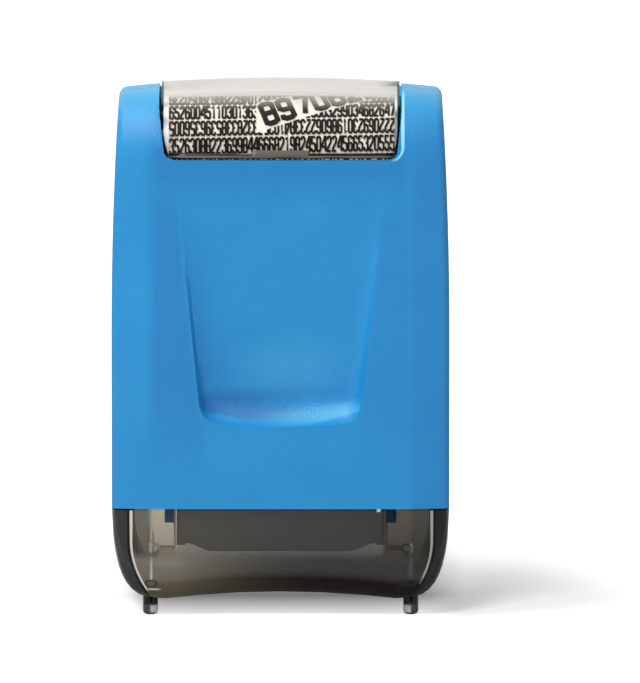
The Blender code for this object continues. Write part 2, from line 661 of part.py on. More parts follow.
def shell_additions(side):
    """Ear plates, screw bosses, guide ribs and cap tongues of one shell."""
    head_depth = HEAD_FRONT if side < 0 else HEAD_BACK
    bm = bmesh.new()
    plate = bmesh.new()
    for sign in (-1, 1):
        outline = []
        x = sign * (BAY_HALF + EAR_PLATE / 2)
        for _, y, z in column_outline(("panel", 0.0, 1), WALL - FUSE, JOINT_Z):
            if z > EAR_PLATE_LOW_Z:
                outline.append((y, z + crown_fall(FACET_HALF_WIDTH) - crown_fall(x)))
        front, back = outline[0][0], outline[-1][0]
        outline += [(back, EAR_PLATE_LOW_Z), (front, EAR_PLATE_LOW_Z)]
        ends = sorted((sign * (BAY_HALF - SLIVER), sign * (BAY_HALF + EAR_PLATE)))
        add_prism(plate, outline, "X", ends[0], ends[1])
    bmesh.ops.recalc_face_normals(plate, faces=plate.faces[:])
    behind = GAP / 2 + SLIVER
    keep_side(plate, side, behind)
    mesh = bpy.data.meshes.new("ear_plates")
    plate.to_mesh(mesh)
    plate.free()
    bm.from_mesh(mesh)
    bpy.data.meshes.remove(mesh)
    boss_radius = FRONT_BOSS_RADIUS if side < 0 else REAR_BOSS_RADIUS
    for z in SCREW_HEIGHTS:
        for sign in (-1, 1):
            root = side * (face_depth(z, head_depth) - facet_fall(SCREW_X) - WALL + FUSE)
            ends = sorted((side * behind, root))
            add_prism(bm, circle(sign * SCREW_X, z, boss_radius, BOSS_SIDES), "Y", ends[0], ends[1])
    recess_top = JOINT_Z + LIP_RISE + GAP
    root = side * (face_depth(RIB_TOP_Z, head_depth) - WALL + FUSE)
    for sign in (-1, 1):
        low_x = sign * TONGUE_X - RIB_WIDTH / 2
        foot_z = recess_top + TONGUE_ROOT
        tip = side * (TANK_HALF_Y + RUN_GAP)
        rib_low = foot_z + TONGUE_ROOT
        ends = sorted((tip, root))
        add_box(bm, (low_x, ends[0], rib_low), (low_x + RIB_WIDTH, ends[1], RIB_TOP_Z))
        outer = side * (TAIL_HALF_DEPTH - WALL + FUSE)
        inner = side * TONGUE_Y
        middle = side * (TONGUE_Y + TONGUE_THICKNESS)
        outline = ((outer, recess_top + GAP), (outer, foot_z), (inner, foot_z), (inner, TONGUE_LOW_Z),
                   (middle, TONGUE_LOW_Z), (middle, recess_top + GAP))
        low_x = sign * TONGUE_X - TONGUE_WIDTH / 2
        add_prism(bm, outline, "X", low_x, low_x + TONGUE_WIDTH)
    return bm


def shell_cuts(side):
    """Axle seat and screw holes of one shell."""
    bm = bmesh.new()
    seat = AXLE_HALF + GAP
    add_prism(bm, circle(0.0, AXIS_Z, AXLE_RADIUS + GAP, BOSS_SIDES), "X", -seat, seat)
    for z in SCREW_HEIGHTS:
        for sign in (-1, 1):
            hole = SCREW_RADIUS + GAP
            section = [(-SCREW_BITE - GAP, hole), (OVERRUN, hole)]
            if side > 0:
                head = SCREW_HEAD_RADIUS + GAP
                seat_y = screw_seat(z)
                section = [(-OVERRUN, hole), (seat_y, hole), (seat_y, head),
                           (TAIL_HALF_DEPTH + OVERRUN, head)]
            add_spindle(bm, section, BOSS_SIDES, "Y", sign * SCREW_X, z)
    return bm


def screw_seat(z):
    return face_depth(z, HEAD_BACK) - facet_fall(SCREW_X) - SCREW_SINK


def housing_shell(name, side, material, shared):
    shell = place(name, keep_side(housing_body(0.0, JOINT_Z, SCOOP_COLUMN_SHARES), side), material,
                  smooth_deg=SHELL_SMOOTH_DEG)
    combine(shell, shared["cavity"], "DIFFERENCE")
    combine(shell, shared["recess"], "DIFFERENCE")
    combine(shell, cutter(name + "_additions", shell_additions(side)), "UNION")
    combine(shell, shared["bay"], "DIFFERENCE")
    combine(shell, shared["window"], "DIFFERENCE")
    combine(shell, cutter(name + "_cuts", shell_cuts(side)), "DIFFERENCE")
    return shell


def housing_cutters():
    recess = bmesh.new()
    outline = chamfered(HALF_WIDTH - RECESS_WALL, TAIL_HALF_DEPTH - RECESS_WALL, LIP_CHAMFER)
    add_prism(recess, outline, "Z", JOINT_Z - OVERRUN, JOINT_Z + LIP_RISE + GAP)
    return {"cavity": cutter("cavity", housing_body(WALL, JOINT_Z - OVERRUN, CAVITY_COLUMN_SHARES)),
            "recess": cutter("recess", recess),
            "bay": cutter("bay", bay_cutter()),
            "window": cutter("window", window_cutter())}


def shell_screws(material):
    for level, z in zip(("lower", "upper"), SCREW_HEIGHTS):
        seat = screw_seat(z) + GAP
        top = seat + SCREW_HEAD
        section = ((-SCREW_BITE, SCREW_RADIUS * SCREW_TIP_SHARE), (SCREW_RADIUS - SCREW_BITE, SCREW_RADIUS),
                   (seat, SCREW_RADIUS), (seat, SCREW_HEAD_RADIUS),
                   (seat + SCREW_HEAD * SCREW_HEAD_EDGE_SHARE, SCREW_HEAD_RADIUS),
                   (top, SCREW_HEAD_RADIUS * SCREW_HEAD_TOP_SHARE), (top, SCREW_DRIVE_RADIUS),
                   (top - SCREW_DRIVE_DEPTH, SCREW_DRIVE_RADIUS))
        for side_name, sign in (("left", -1), ("right", 1)):
            bm = bmesh.new()
            add_spindle(bm, section, SMALL_SIDES, "Y", sign * SCREW_X, z)
            place("shell_screw_%s_%s" % (level, side_name), bm, material)


# Drum

def drum_pieces(finishes, axis):
    pivot = axis.location.copy()
    core_radius = TYPE_RADIUS - SLEEVE_WALL - GAP
    core_half = SLEEVE_HALF - CORE_INSET
    hub_bore = AXLE_RADIUS + GAP + BUSH_WALL + GAP
    rim_bore = core_radius - CORE_RIM_WALL
    section = ((-core_half, hub_bore), (-core_half, CORE_HUB_RADIUS), (-CORE_WEB_HALF, CORE_HUB_RADIUS),
               (-CORE_WEB_HALF, rim_bore), (-core_half, rim_bore), (-core_half, core_radius),
               (core_half, core_radius), (core_half, rim_bore), (CORE_WEB_HALF, rim_bore),
               (CORE_WEB_HALF, CORE_HUB_RADIUS), (core_half, CORE_HUB_RADIUS), (core_half, hub_bore))
    core = bmesh.new()
    add_turned(core, section, CORE_SIDES, 0.0, AXIS_Z)
    holes = bmesh.new()
    ring = (CORE_HUB_RADIUS + rim_bore) / 2
    for i in range(CORE_WEB_HOLES):
        turn = 2 * pi * i / CORE_WEB_HOLES
        outline = circle(ring * cos(turn), AXIS_Z + ring * sin(turn), CORE_WEB_HOLE_RADIUS, HOLE_SIDES)
        add_prism(holes, outline, "X", -CORE_WEB_HALF - OVERRUN, CORE_WEB_HALF + OVERRUN)
    spool = place("drum_core", core, finishes["acetal"], pivot, axis)
    combine(spool, cutter("core_holes", holes), "DIFFERENCE")

    sleeve = bmesh.new()
    inner = TYPE_RADIUS - SLEEVE_WALL
    edge = TYPE_RADIUS - SLEEVE_EDGE
    section = ((-SLEEVE_HALF, inner), (-SLEEVE_HALF, edge), (SLEEVE_EDGE - SLEEVE_HALF, TYPE_RADIUS),
               (SLEEVE_HALF - SLEEVE_EDGE, TYPE_RADIUS), (SLEEVE_HALF, edge), (SLEEVE_HALF, inner))
    add_turned(sleeve, section, SLEEVE_SIDES, 0.0, AXIS_Z)
    place("type_sleeve", sleeve, finishes["type_rubber"], pivot, axis)

    bore = AXLE_RADIUS + GAP
    for name, sign in (("left", -1), ("right", 1)):
        seat = core_half - BUSH_DEPTH
        face = core_half + GAP
        section = [(seat, bore), (seat, bore + BUSH_WALL), (face, bore + BUSH_WALL),
                   (face, BUSH_FLANGE_RADIUS), (face + BUSH_FLANGE, BUSH_FLANGE_RADIUS),
                   (face + BUSH_FLANGE, bore)]
        bush = bmesh.new()
        add_turned(bush, [(sign * x, r) for x, r in section], BOSS_SIDES, 0.0, AXIS_Z)
        place("drum_bush_" + name, bush, finishes["bronze"], pivot, axis)


def axle_and_clips(finishes):
    groove_in = BAY_HALF + EAR_PLATE + GAP
    groove_out = groove_in + CLIP_THICKNESS + 2 * GAP
    half = [(AXLE_HALF, AXLE_RADIUS), (groove_out, AXLE_RADIUS), (groove_out, AXLE_NECK_RADIUS),
            (groove_in, AXLE_NECK_RADIUS), (groove_in, AXLE_RADIUS)]
    axle = bmesh.new()
    add_spindle(axle, [(-x, r) for x, r in half] + half[::-1], BOSS_SIDES, "X", 0.0, AXIS_Z)
    place("drum_axle", axle, finishes["steel"], Vector((0, 0, AXIS_Z)))
    turn_deg = 360 - CLIP_OPENING_DEG
    for name, sign in (("left", -1), ("right", 1)):
        low = sign * (groove_in + GAP)
        high = low + sign * CLIP_THICKNESS
        section = ((low, AXLE_NECK_RADIUS + GAP), (low, CLIP_RADIUS), (high, CLIP_RADIUS),
                   (high, AXLE_NECK_RADIUS + GAP))
        rings = []
        for i in range(CLIP_STEPS + 1):
            turn = radians(-90 + CLIP_OPENING_DEG / 2 + turn_deg * i / CLIP_STEPS)
            rings.append([(x, r * cos(turn), AXIS_Z + r * sin(turn)) for x, r in section])
        clip = bmesh.new()
        skin_rings(clip, rings)
        place("axle_clip_" + name, clip, finishes["steel"])


# Cartridge

def cartridge_pieces(finishes):
    bm = bmesh.new()
    tank = [(-TANK_HALF_X, -TANK_HALF_Y), (TANK_HALF_X, -TANK_HALF_Y), (TANK_HALF_X, TANK_HALF_Y),
            (-TANK_HALF_X, TANK_HALF_Y)]
    add_prism(bm, tank, "Z", TANK_FLOOR_Z, TANK_TOP_Z)
    leg_x = TAIL_HALF_X - TAIL_LEG
    notch_x = leg_x - TAIL_NOTCH_WIDTH
    leg_z = TAIL_LOW_Z + TAIL_LEG_RISE
    notch_z = leg_z + TAIL_NOTCH
    floor_z = TANK_FLOOR_Z + TANK_WALL
    tail_right = [(notch_x - TAIL_SLOPE_RUN, TAIL_LOW_Z), (notch_x, notch_z), (leg_x, notch_z),
                  (leg_x, leg_z), (TAIL_HALF_X, leg_z), (TAIL_HALF_X, floor_z)]
    outline = tail_right + [(-x, z) for x, z in reversed(tail_right)]
    tail = bmesh.new()
    add_prism(tail, outline, "Y", -TAIL_HALF_Y, TAIL_HALF_Y)
    cuts = bmesh.new()
    hollow_x = TANK_HALF_X - TANK_WALL
    hollow_y = TANK_HALF_Y - TANK_WALL
    add_box(cuts, (-hollow_x, -hollow_y, floor_z), (hollow_x, hollow_y, TANK_TOP_Z + OVERRUN))
    plug_seat = PLUG_RADIUS + GAP
    add_prism(cuts, circle(PLUG_X, PLUG_Z, plug_seat, SMALL_SIDES), "Y", -TAIL_HALF_Y - OVERRUN,
              PLUG_RADIUS - TAIL_HALF_Y + GAP)
    housing = place("ink_cartridge", bm, finishes["dark_plastic"])
    combine(housing, cutter("cartridge_tail", tail), "UNION")
    combine(housing, cutter("cartridge_cuts", cuts), "DIFFERENCE")

    ball = bmesh.new()
    bmesh.ops.create_uvsphere(ball, u_segments=SMALL_SIDES, v_segments=HOLE_SIDES, radius=PLUG_RADIUS)
    bmesh.ops.translate(ball, vec=(PLUG_X, -TAIL_HALF_Y, PLUG_Z), verts=ball.verts[:])
    place("fill_plug", ball, finishes["steel"])

    block = bmesh.new()
    soft_x = hollow_x - GAP
    soft_y = hollow_y - GAP
    add_box(block, (-soft_x, -soft_y, floor_z + GAP), (soft_x, soft_y, RESERVOIR_TOP_Z))
    slot = bmesh.new()
    slot_x = WICK_HALF_X + GAP
    slot_y = WICK_HALF_Y + GAP
    slot_low = RESERVOIR_TOP_Z - WICK_DIP - YOKE_TRAVEL - GAP
    add_box(slot, (-slot_x, ROLLER_Y - slot_y, slot_low), (slot_x, ROLLER_Y + slot_y, TANK_TOP_Z))
    slot_tool = cutter("wick_slot", slot)
    reservoir = place("ink_reservoir", block, finishes["ink_felt"])
    combine(reservoir, slot_tool, "DIFFERENCE")

    plate = bmesh.new()
    add_box(plate, (-soft_x, -soft_y, PLATE_LOW_Z), (soft_x, soft_y, PLATE_LOW_Z + PLATE_THICKNESS))
    spring_plate = place("spring_plate", plate, finishes["grey_plastic"])
    combine(spring_plate, slot_tool, "DIFFERENCE")

    for name, sign in (("left", -1), ("right", 1)):
        foot = Vector((sign * SPRING_X, SPRING_Y, SPRING_LOW_Z))
        yoke_spring("yoke_spring_" + name, foot, finishes["steel"])

    wick = bmesh.new()
    add_box(wick, (-WICK_HALF_X, ROLLER_Y - WICK_HALF_Y, RESERVOIR_TOP_Z - WICK_DIP),
            (WICK_HALF_X, ROLLER_Y + WICK_HALF_Y, ROLLER_Z - ROLLER_RADIUS - GAP))
    place("ink_wick", wick, finishes["ink_felt"])
    yoke(finishes["grey_plastic"])
    ink_roller(finishes)


def yoke(material):
    """A plate with a slot for the wick and an arm at each end for the roller's axle."""
    bm = bmesh.new()
    add_box(bm, (-YOKE_HALF_X, -YOKE_HALF_Y, YOKE_LOW_Z), (YOKE_HALF_X, YOKE_HALF_Y, YOKE_HIGH_Z))
    arms = bmesh.new()
    top = ROLLER_Z + YOKE_ARM_OVER
    corner = YOKE_ARM_OVER / 2
    root = YOKE_LOW_Z + YOKE_THICKNESS / 2
    front, back = ROLLER_Y - YOKE_ARM_HALF_Y, ROLLER_Y + YOKE_ARM_HALF_Y
    outline = ((front, root), (back, root), (back, top - corner), (back - corner, top),
               (front + corner, top), (front, top - corner))
    for sign in (-1, 1):
        ends = sorted((sign * YOKE_HALF_X, sign * (YOKE_HALF_X - YOKE_ARM)))
        add_prism(arms, outline, "X", ends[0], ends[1])
    cuts = bmesh.new()
    slot_x = WICK_HALF_X + GAP
    slot_y = WICK_HALF_Y + GAP
    add_box(cuts, (-slot_x, ROLLER_Y - slot_y, YOKE_LOW_Z - OVERRUN),
            (slot_x, ROLLER_Y + slot_y, YOKE_HIGH_Z + OVERRUN))
    bores = bmesh.new()
    bore = circle(ROLLER_Y, ROLLER_Z, ROLLER_AXLE_RADIUS + GAP, SMALL_SIDES)
    add_prism(bores, bore, "X", -TANK_HALF_X, TANK_HALF_X)
    frame = place("ink_yoke", bm, material)
    combine(frame, cutter("yoke_arms", arms), "UNION")
    combine(frame, cutter("yoke_slot", cuts), "DIFFERENCE")
    combine(frame, cutter("yoke_bores", bores), "DIFFERENCE")


def yoke_spring(name, foot, material):
    """One unbroken coil; its ends run straight up and down, square to the plates."""
    count = SPRING_CURLS * SPRING_POINTS
    lead = 2 * SPRING_WIRE
    rise = SPRING_LENGTH - 2 * lead - 2 * SPRING_WIRE
    points = [(SPRING_RADIUS, 0.0, 0.0)]
    for i in range(count + 1):
        turn = 2 * pi * i / SPRING_POINTS
        points.append((SPRING_RADIUS * cos(turn), SPRING_RADIUS * sin(turn),
                       lead + SPRING_WIRE + rise * i / count))
    last = points[-1]
    points.append((last[0], last[1], SPRING_LENGTH))
    least = min(hypot(hypot(a[0] - b[0], a[1] - b[1]), a[2] - b[2])
                for i, a in enumerate(points[1:-1]) for b in points[1 + i + SPRING_POINTS // 2:-1])
    print(name, "least gap to itself %.2f mm" % ((least - 2 * SPRING_WIRE) / MM))
    curve = bpy.data.curves.new(name, "CURVE")
    curve.dimensions = "3D"
    curve.bevel_depth = SPRING_WIRE
    curve.bevel_resolution = 1
    curve.use_fill_caps = True
    spline = curve.splines.new("POLY")
    spline.points.add(len(points) - 1)
    for slot, point in zip(spline.points, points):
        slot.co = (*point, 1.0)
    curve.materials.append(material)
    spring = bpy.data.objects.new(name, curve)
    spring.location = foot
    bpy.context.scene.collection.objects.link(spring)


def ink_roller(finishes):
    pivot = Vector((0, ROLLER_Y, ROLLER_Z))
    axis = axis_empty("ink_roller_axis", pivot)
    sleeve = ROLLER_RADIUS - FELT_WALL
    bore = ROLLER_AXLE_RADIUS + GAP
    felt = bmesh.new()
    add_tube(felt, -ROLLER_HALF, ROLLER_HALF, sleeve, ROLLER_RADIUS, ROLLER_SIDES, ROLLER_Y, ROLLER_Z)
    place("ink_roller_felt", felt, finishes["ink_felt"], pivot, axis)
    core = bmesh.new()
    add_tube(core, -ROLLER_HALF, ROLLER_HALF, bore, sleeve - GAP, BOSS_SIDES, ROLLER_Y, ROLLER_Z)
    place("ink_roller_core", core, finishes["acetal"], pivot, axis)
    axle = bmesh.new()
    add_prism(axle, circle(ROLLER_Y, ROLLER_Z, ROLLER_AXLE_RADIUS, SMALL_SIDES), "X",
              -YOKE_HALF_X, YOKE_HALF_X)
    place("ink_roller_axle", axle, finishes["steel"], pivot, axis)


# Cap

def cap_low(x):
    """Height of the cap's lower edge: an arch in the middle, then a rounded corner."""
    x = abs(x)
    if x <= CAP_ARCH_HALF:
        return CAP_LOW_Z + CAP_ARCH_RISE * (1 - (x / CAP_ARCH_HALF) ** 2)
    share = min(1.0, (x - CAP_ARCH_HALF) / (HALF_WIDTH - CAP_ARCH_HALF))
    over = 1 - share ** CAP_CORNER_POWER_ALONG
    return CAP_LOW_Z + (JOINT_Z - CAP_LOW_Z) * (1 - over ** (1 / CAP_CORNER_POWER_UP))


def cap_half_depth(x, half_width_x, half_depth, edge):
    over = min(1.0, max(0.0, (abs(x) - half_width_x + edge) / edge))
    return half_depth - edge * (1 - sqrt(1 - over * over))


def cap_solid(inset, floor, top_z, shares):
    """Outer form with no inset, and the hollow with one."""
    bm = bmesh.new()
    half = HALF_WIDTH - inset
    right = [half * share for share in shares]
    rings = []
    for x in [-x for x in reversed(right[1:])] + right:
        depth = cap_half_depth(x, half, TAIL_HALF_DEPTH - inset, CAP_EDGE - inset / 2)
        low = min(cap_low(x * HALF_WIDTH / half) + floor, JOINT_Z - GAP - FUSE)
        soft = min(CAP_UNDER_ROUND, (top_z - low) * CAP_ROUND_SHARE)
        side = [(depth, top_z), (depth, low + soft)]
        for i in range(1, CAP_ROUND_STEPS + 1):
            turn = pi / 2 * i / CAP_ROUND_STEPS
            side.append((depth - soft * (1 - cos(turn)), low + soft * (1 - sin(turn))))
        rings.append([(x, -y, z) for y, z in side] + [(x, y, z) for y, z in reversed(side)])
    skin_rings(bm, rings)
    return bm


def tail_cap(material):
    top_z = JOINT_Z - GAP
    cap = place("tail_cap", cap_solid(0.0, 0.0, top_z, CAP_COLUMN_SHARES), material)
    hollow = cap_solid(CAP_WALL, CAP_FLOOR, top_z + OVERRUN, HOLLOW_COLUMN_SHARES)
    combine(cap, cutter("cap_hollow", hollow), "DIFFERENCE")
    lip = bmesh.new()
    lip_x = HALF_WIDTH - RECESS_WALL - GAP
    lip_y = TAIL_HALF_DEPTH - RECESS_WALL - GAP
    low, high = top_z - LIP_DROP, JOINT_Z + LIP_RISE
    outer = chamfered(lip_x, lip_y, LIP_CHAMFER)
    inner = chamfered(lip_x - LIP_WALL, lip_y - LIP_WALL, LIP_CHAMFER - LIP_WALL / 2)
    skin_rings(lip, [[(x, y, low) for x, y in outer], [(x, y, high) for x, y in outer],
                     [(x, y, high) for x, y in inner], [(x, y, low) for x, y in inner]], closed=True)
    combine(cap, cutter("cap_lip", lip), "UNION")
    ribs = bmesh.new()
    reach = TAIL_HALF_DEPTH - CAP_WALL + FUSE
    for sign in (-1, 1):
        ends = sorted((sign * (CAP_RIB_X - CAP_RIB / 2), sign * (CAP_RIB_X + CAP_RIB / 2)))
        low_z = cap_low(CAP_RIB_X) + CAP_UNDER_ROUND + FUSE
        outline = ((-reach, low_z), (reach, low_z), (reach, CAP_RIB_TOP_Z), (-reach, CAP_RIB_TOP_Z))
        add_prism(ribs, outline, "X", ends[0], ends[1])
    combine(cap, cutter("cap_ribs", ribs), "UNION")
    seats = bmesh.new()
    for sign_x in (-1, 1):
        for sign_y in (-1, 1):
            seat = circle(sign_x * FOOT_X, sign_y * FOOT_Y, FOOT_RADIUS + GAP, BOSS_SIDES)
            add_prism(seats, seat, "Z", -OVERRUN, FOOT_TOP_Z + GAP)
    combine(cap, cutter("foot_seats", seats), "DIFFERENCE")


def cap_feet(material):
    part = FOOT_ROUND * FOOT_ROUND_SHARE
    section = ((0.0, FOOT_RADIUS - FOOT_ROUND), (part, FOOT_RADIUS - part), (FOOT_ROUND, FOOT_RADIUS),
               (FOOT_TOP_Z, FOOT_RADIUS))
    for side_name, sign_y in (("front", -1), ("rear", 1)):
        for end_name, sign_x in (("left", -1), ("right", 1)):
            bm = bmesh.new()
            add_spindle(bm, section, SMALL_SIDES, "Z", sign_x * FOOT_X, sign_y * FOOT_Y)
            place("cap_foot_%s_%s" % (side_name, end_name), bm, material)


def main():
    clear_scene()
    finishes = {name: finish(name, *values) for name, values in FINISHES.items()}
    axis = axis_empty("drum_axis", Vector((0, 0, AXIS_Z)))
    shared = housing_cutters()
    housing_shell("front_shell", -1, finishes["blue_plastic"], shared)
    housing_shell("rear_shell", 1, finishes["blue_plastic"], shared)
    shell_screws(finishes["steel"])
    axle_and_clips(finishes)
    drum_pieces(finishes, axis)
    drum_cover(finishes["clear_plastic"], axis.location.copy())
    cartridge_pieces(finishes)
    tail_cap(finishes["smoky_plastic"])
    cap_feet(finishes["foot_plastic"])


main()
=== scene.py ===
"""Dresses the privacy roller stamp: finishes for its moulded pieces, raised type on the drum and
the small forms that show through the smoky cap, in a white studio."""

import json
import random
from math import cos, pi, radians, sin, tan

import bmesh
import bpy
from mathutils import Matrix, Vector


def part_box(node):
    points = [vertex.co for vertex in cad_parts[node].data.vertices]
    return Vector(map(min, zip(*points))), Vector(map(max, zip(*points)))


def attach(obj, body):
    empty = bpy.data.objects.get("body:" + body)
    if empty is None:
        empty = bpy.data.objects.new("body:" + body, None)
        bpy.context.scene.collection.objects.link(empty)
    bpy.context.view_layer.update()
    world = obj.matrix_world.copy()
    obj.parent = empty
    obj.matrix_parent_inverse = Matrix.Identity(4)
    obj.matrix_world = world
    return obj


MM = 0.001
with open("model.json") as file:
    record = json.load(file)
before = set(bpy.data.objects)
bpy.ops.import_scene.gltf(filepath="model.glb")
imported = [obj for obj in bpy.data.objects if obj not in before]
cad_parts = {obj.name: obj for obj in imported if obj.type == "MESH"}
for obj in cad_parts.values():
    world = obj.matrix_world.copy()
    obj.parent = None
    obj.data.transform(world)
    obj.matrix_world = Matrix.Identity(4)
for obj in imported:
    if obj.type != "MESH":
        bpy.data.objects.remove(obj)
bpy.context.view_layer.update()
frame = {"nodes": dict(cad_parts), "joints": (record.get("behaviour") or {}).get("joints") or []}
nodes = frame["nodes"]
scene = bpy.context.scene
scene.view_settings.view_transform = "Standard"

# Places that the frame gives
AXIS_Z = frame["joints"][0]["pos_m"][2]
SLEEVE_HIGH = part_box("type_sleeve")[1]
TYPE_RADIUS = SLEEVE_HIGH[2] - AXIS_Z
SLEEVE_HALF = SLEEVE_HIGH[0]


# Node tools

def add_node(tree, kind, inputs=None, **settings):
    """Add a shader node; inputs maps a socket's name or number to a value or another socket."""
    node = tree.nodes.new(kind)
    for key, value in settings.items():
        setattr(node, key, value)
    for key, value in (inputs or {}).items():
        if isinstance(value, bpy.types.NodeSocket):
            tree.links.new(value, node.inputs[key])
        else:
            node.inputs[key].default_value = value
    return node


def maths(tree, operation, first, second=0.0):
    return add_node(tree, "ShaderNodeMath", {0: first, 1: second}, operation=operation).outputs[0]


def less(tree, first, second):
    return maths(tree, "SUBTRACT", first, second)


def squared(tree, value):
    return maths(tree, "MULTIPLY", value, value)


def line_at(tree, value, slope, start):
    """A straight line's height over a value."""
    return maths(tree, "ADD", maths(tree, "MULTIPLY", value, slope), start)


def ramp(tree, value, low, high, to_low=0.0, to_high=1.0):
    """Fade from to_low at low to to_high at high, and stay there beyond them."""
    inputs = {"Value": value, "From Min": low, "From Max": high, "To Min": to_low, "To Max": to_high}
    return add_node(tree, "ShaderNodeMapRange", inputs, clamp=True).outputs[0]


def near(tree, value, centre, half, soft):
    """A mask: one within half of the centre, fading over a soft edge."""
    off = maths(tree, "ABSOLUTE", less(tree, value, centre))
    return ramp(tree, less(tree, off, half), 0.0, soft, 1.0, 0.0)


def every(tree, *shares):
    """Where all the masks hold; a plain number weakens them."""
    both = shares[0]
    for share in shares[1:]:
        both = maths(tree, "MULTIPLY", both, share)
    return both


def most(tree, *shares):
    """The strongest of the masks."""
    top = shares[0]
    for share in shares[1:]:
        top = maths(tree, "MAXIMUM", top, share)
    return top


def rgba(colour):
    """A colour for a socket: red, green and blue get their alpha; a socket stays as it is."""
    return (*colour, 1.0) if isinstance(colour, tuple) else colour


def mixed(tree, share, first, second):
    """Mix two colours by a share."""
    inputs = {0: share, 6: rgba(first), 7: rgba(second)}
    return add_node(tree, "ShaderNodeMix", inputs, data_type="RGBA").outputs[2]


def new_group(name, inputs, outputs):
    group = bpy.data.node_groups.new(name, "ShaderNodeTree")
    for socket, value in inputs:
        made = group.interface.new_socket(socket, in_out="INPUT", socket_type="NodeSocketFloat")
        made.default_value = value
    for socket in outputs:
        group.interface.new_socket(socket, in_out="OUTPUT", socket_type="NodeSocketFloat")
    return group, group.nodes.new("NodeGroupInput"), group.nodes.new("NodeGroupOutput")


def moulded_grain():
    """Fine spark-eroded grain of a moulded face, with slow unevenness under it."""
    group, given, out = new_group("moulded_grain", (("Grain Size", 0.3), ("Cloud Size", 8.0)),
                                  ("Height", "Cloud"))
    place = add_node(group, "ShaderNodeTexCoord").outputs["Object"]
    fine = maths(group, "DIVIDE", 1 / MM, given.outputs["Grain Size"])
    slow = maths(group, "DIVIDE", 1 / MM, given.outputs["Cloud Size"])
    grain = add_node(group, "ShaderNodeTexNoise", {"Vector": place, "Scale": fine, "Detail": 2.0,
                                                  "Roughness": 0.6})
    cloud = add_node(group, "ShaderNodeTexNoise", {"Vector": place, "Scale": slow, "Detail": 3.0,
                                                  "Roughness": 0.55})
    group.links.new(grain.outputs["Fac"], out.inputs["Height"])
    group.links.new(cloud.outputs["Fac"], out.inputs["Cloud"])
    return group


GRAIN = moulded_grain()


def new_material(name):
    material = bpy.data.materials.new(name)
    material.use_nodes = True
    tree = material.node_tree
    tree.nodes.clear()
    return material, tree, tree.nodes.new("ShaderNodeOutputMaterial")


def place_grain(tree, grain_mm, cloud_mm):
    node = tree.nodes.new("ShaderNodeGroup")
    node.node_tree = GRAIN
    node.inputs["Grain Size"].default_value = grain_mm
    node.inputs["Cloud Size"].default_value = cloud_mm
    return node.outputs["Height"], node.outputs["Cloud"]


def cloud_colour(tree, cloud, light, dark):
    return mixed(tree, ramp(tree, cloud, 0.3, 0.7), dark, light)


def cloud_gloss(tree, cloud, low, high):
    """Roughness that wanders slowly between two values."""
    return ramp(tree, cloud, 0.25, 0.75, low, high)


def grain_bump(tree, height, depth_mm):
    inputs = {"Strength": 1.0, "Distance": depth_mm * MM, "Height": height}
    return add_node(tree, "ShaderNodeBump", inputs).outputs[0]


def principled(tree, out, inputs):
    shader = add_node(tree, "ShaderNodeBsdfPrincipled", inputs)
    tree.links.new(shader.outputs[0], out.inputs["Surface"])


# How far roughness wanders to each side, and how deep the grain of the clear pieces is
PLAIN_GLOSS_SPREAD = 0.06
CLEAR_GLOSS_SPREAD = 0.04
CLEAR_BUMP_MM = 0.01


def plain_finish(name, light, dark, roughness, grain_mm=0.3, cloud_mm=8.0, bump=0.02, metallic=0.0,
                 **sockets):
    """An opaque finish: two close colours over slow clouds, uneven gloss and a fine grain."""
    material, tree, out = new_material(name)
    height, cloud = place_grain(tree, grain_mm, cloud_mm)
    gloss = cloud_gloss(tree, cloud, roughness - PLAIN_GLOSS_SPREAD, roughness + PLAIN_GLOSS_SPREAD)
    inputs = {"Base Color": cloud_colour(tree, cloud, light, dark), "Roughness": gloss,
              "Metallic": metallic, "Normal": grain_bump(tree, height, bump)}
    inputs.update({key.replace("_", " "): value for key, value in sockets.items()})
    principled(tree, out, inputs)
    return material


def place_in_mm(tree):
    """Place in the piece: x, y, z and how far out along x and y."""
    place = add_node(tree, "ShaderNodeTexCoord").outputs["Object"]
    parts = add_node(tree, "ShaderNodeSeparateXYZ", {0: place})
    x, y, z = [maths(tree, "MULTIPLY", parts.outputs[axis], 1 / MM) for axis in "XYZ"]
    return x, y, z, maths(tree, "ABSOLUTE", x), maths(tree, "ABSOLUTE", y)


def see_through(tree, out, tint, share, colour, roughness, grain_mm, cloud_mm, gloss, shade=1.0):
    """A clear finish: what lies behind it, tinted, under a share of its own colour. Shade is how much of
    that share holds back the lamps' light."""
    if shade < 1.0:
        lamp_ray = add_node(tree, "ShaderNodeLightPath").outputs["Is Shadow Ray"]
        share = maths(tree, "MULTIPLY", share, ramp(tree, lamp_ray, 0.0, 1.0, 1.0, shade))
    height, cloud = place_grain(tree, grain_mm, cloud_mm)
    clear = add_node(tree, "ShaderNodeBsdfTransparent", {"Color": rgba(tint)})
    uneven = cloud_gloss(tree, cloud, roughness - CLEAR_GLOSS_SPREAD, roughness + CLEAR_GLOSS_SPREAD)
    body = add_node(tree, "ShaderNodeBsdfPrincipled", {
        "Base Color": colour, "Roughness": uneven, "Specular IOR Level": gloss,
        "Normal": grain_bump(tree, height, CLEAR_BUMP_MM)})
    both = add_node(tree, "ShaderNodeMixShader", {0: share, 1: clear.outputs[0], 2: body.outputs[0]})
    tree.links.new(both.outputs[0], out.inputs["Surface"])


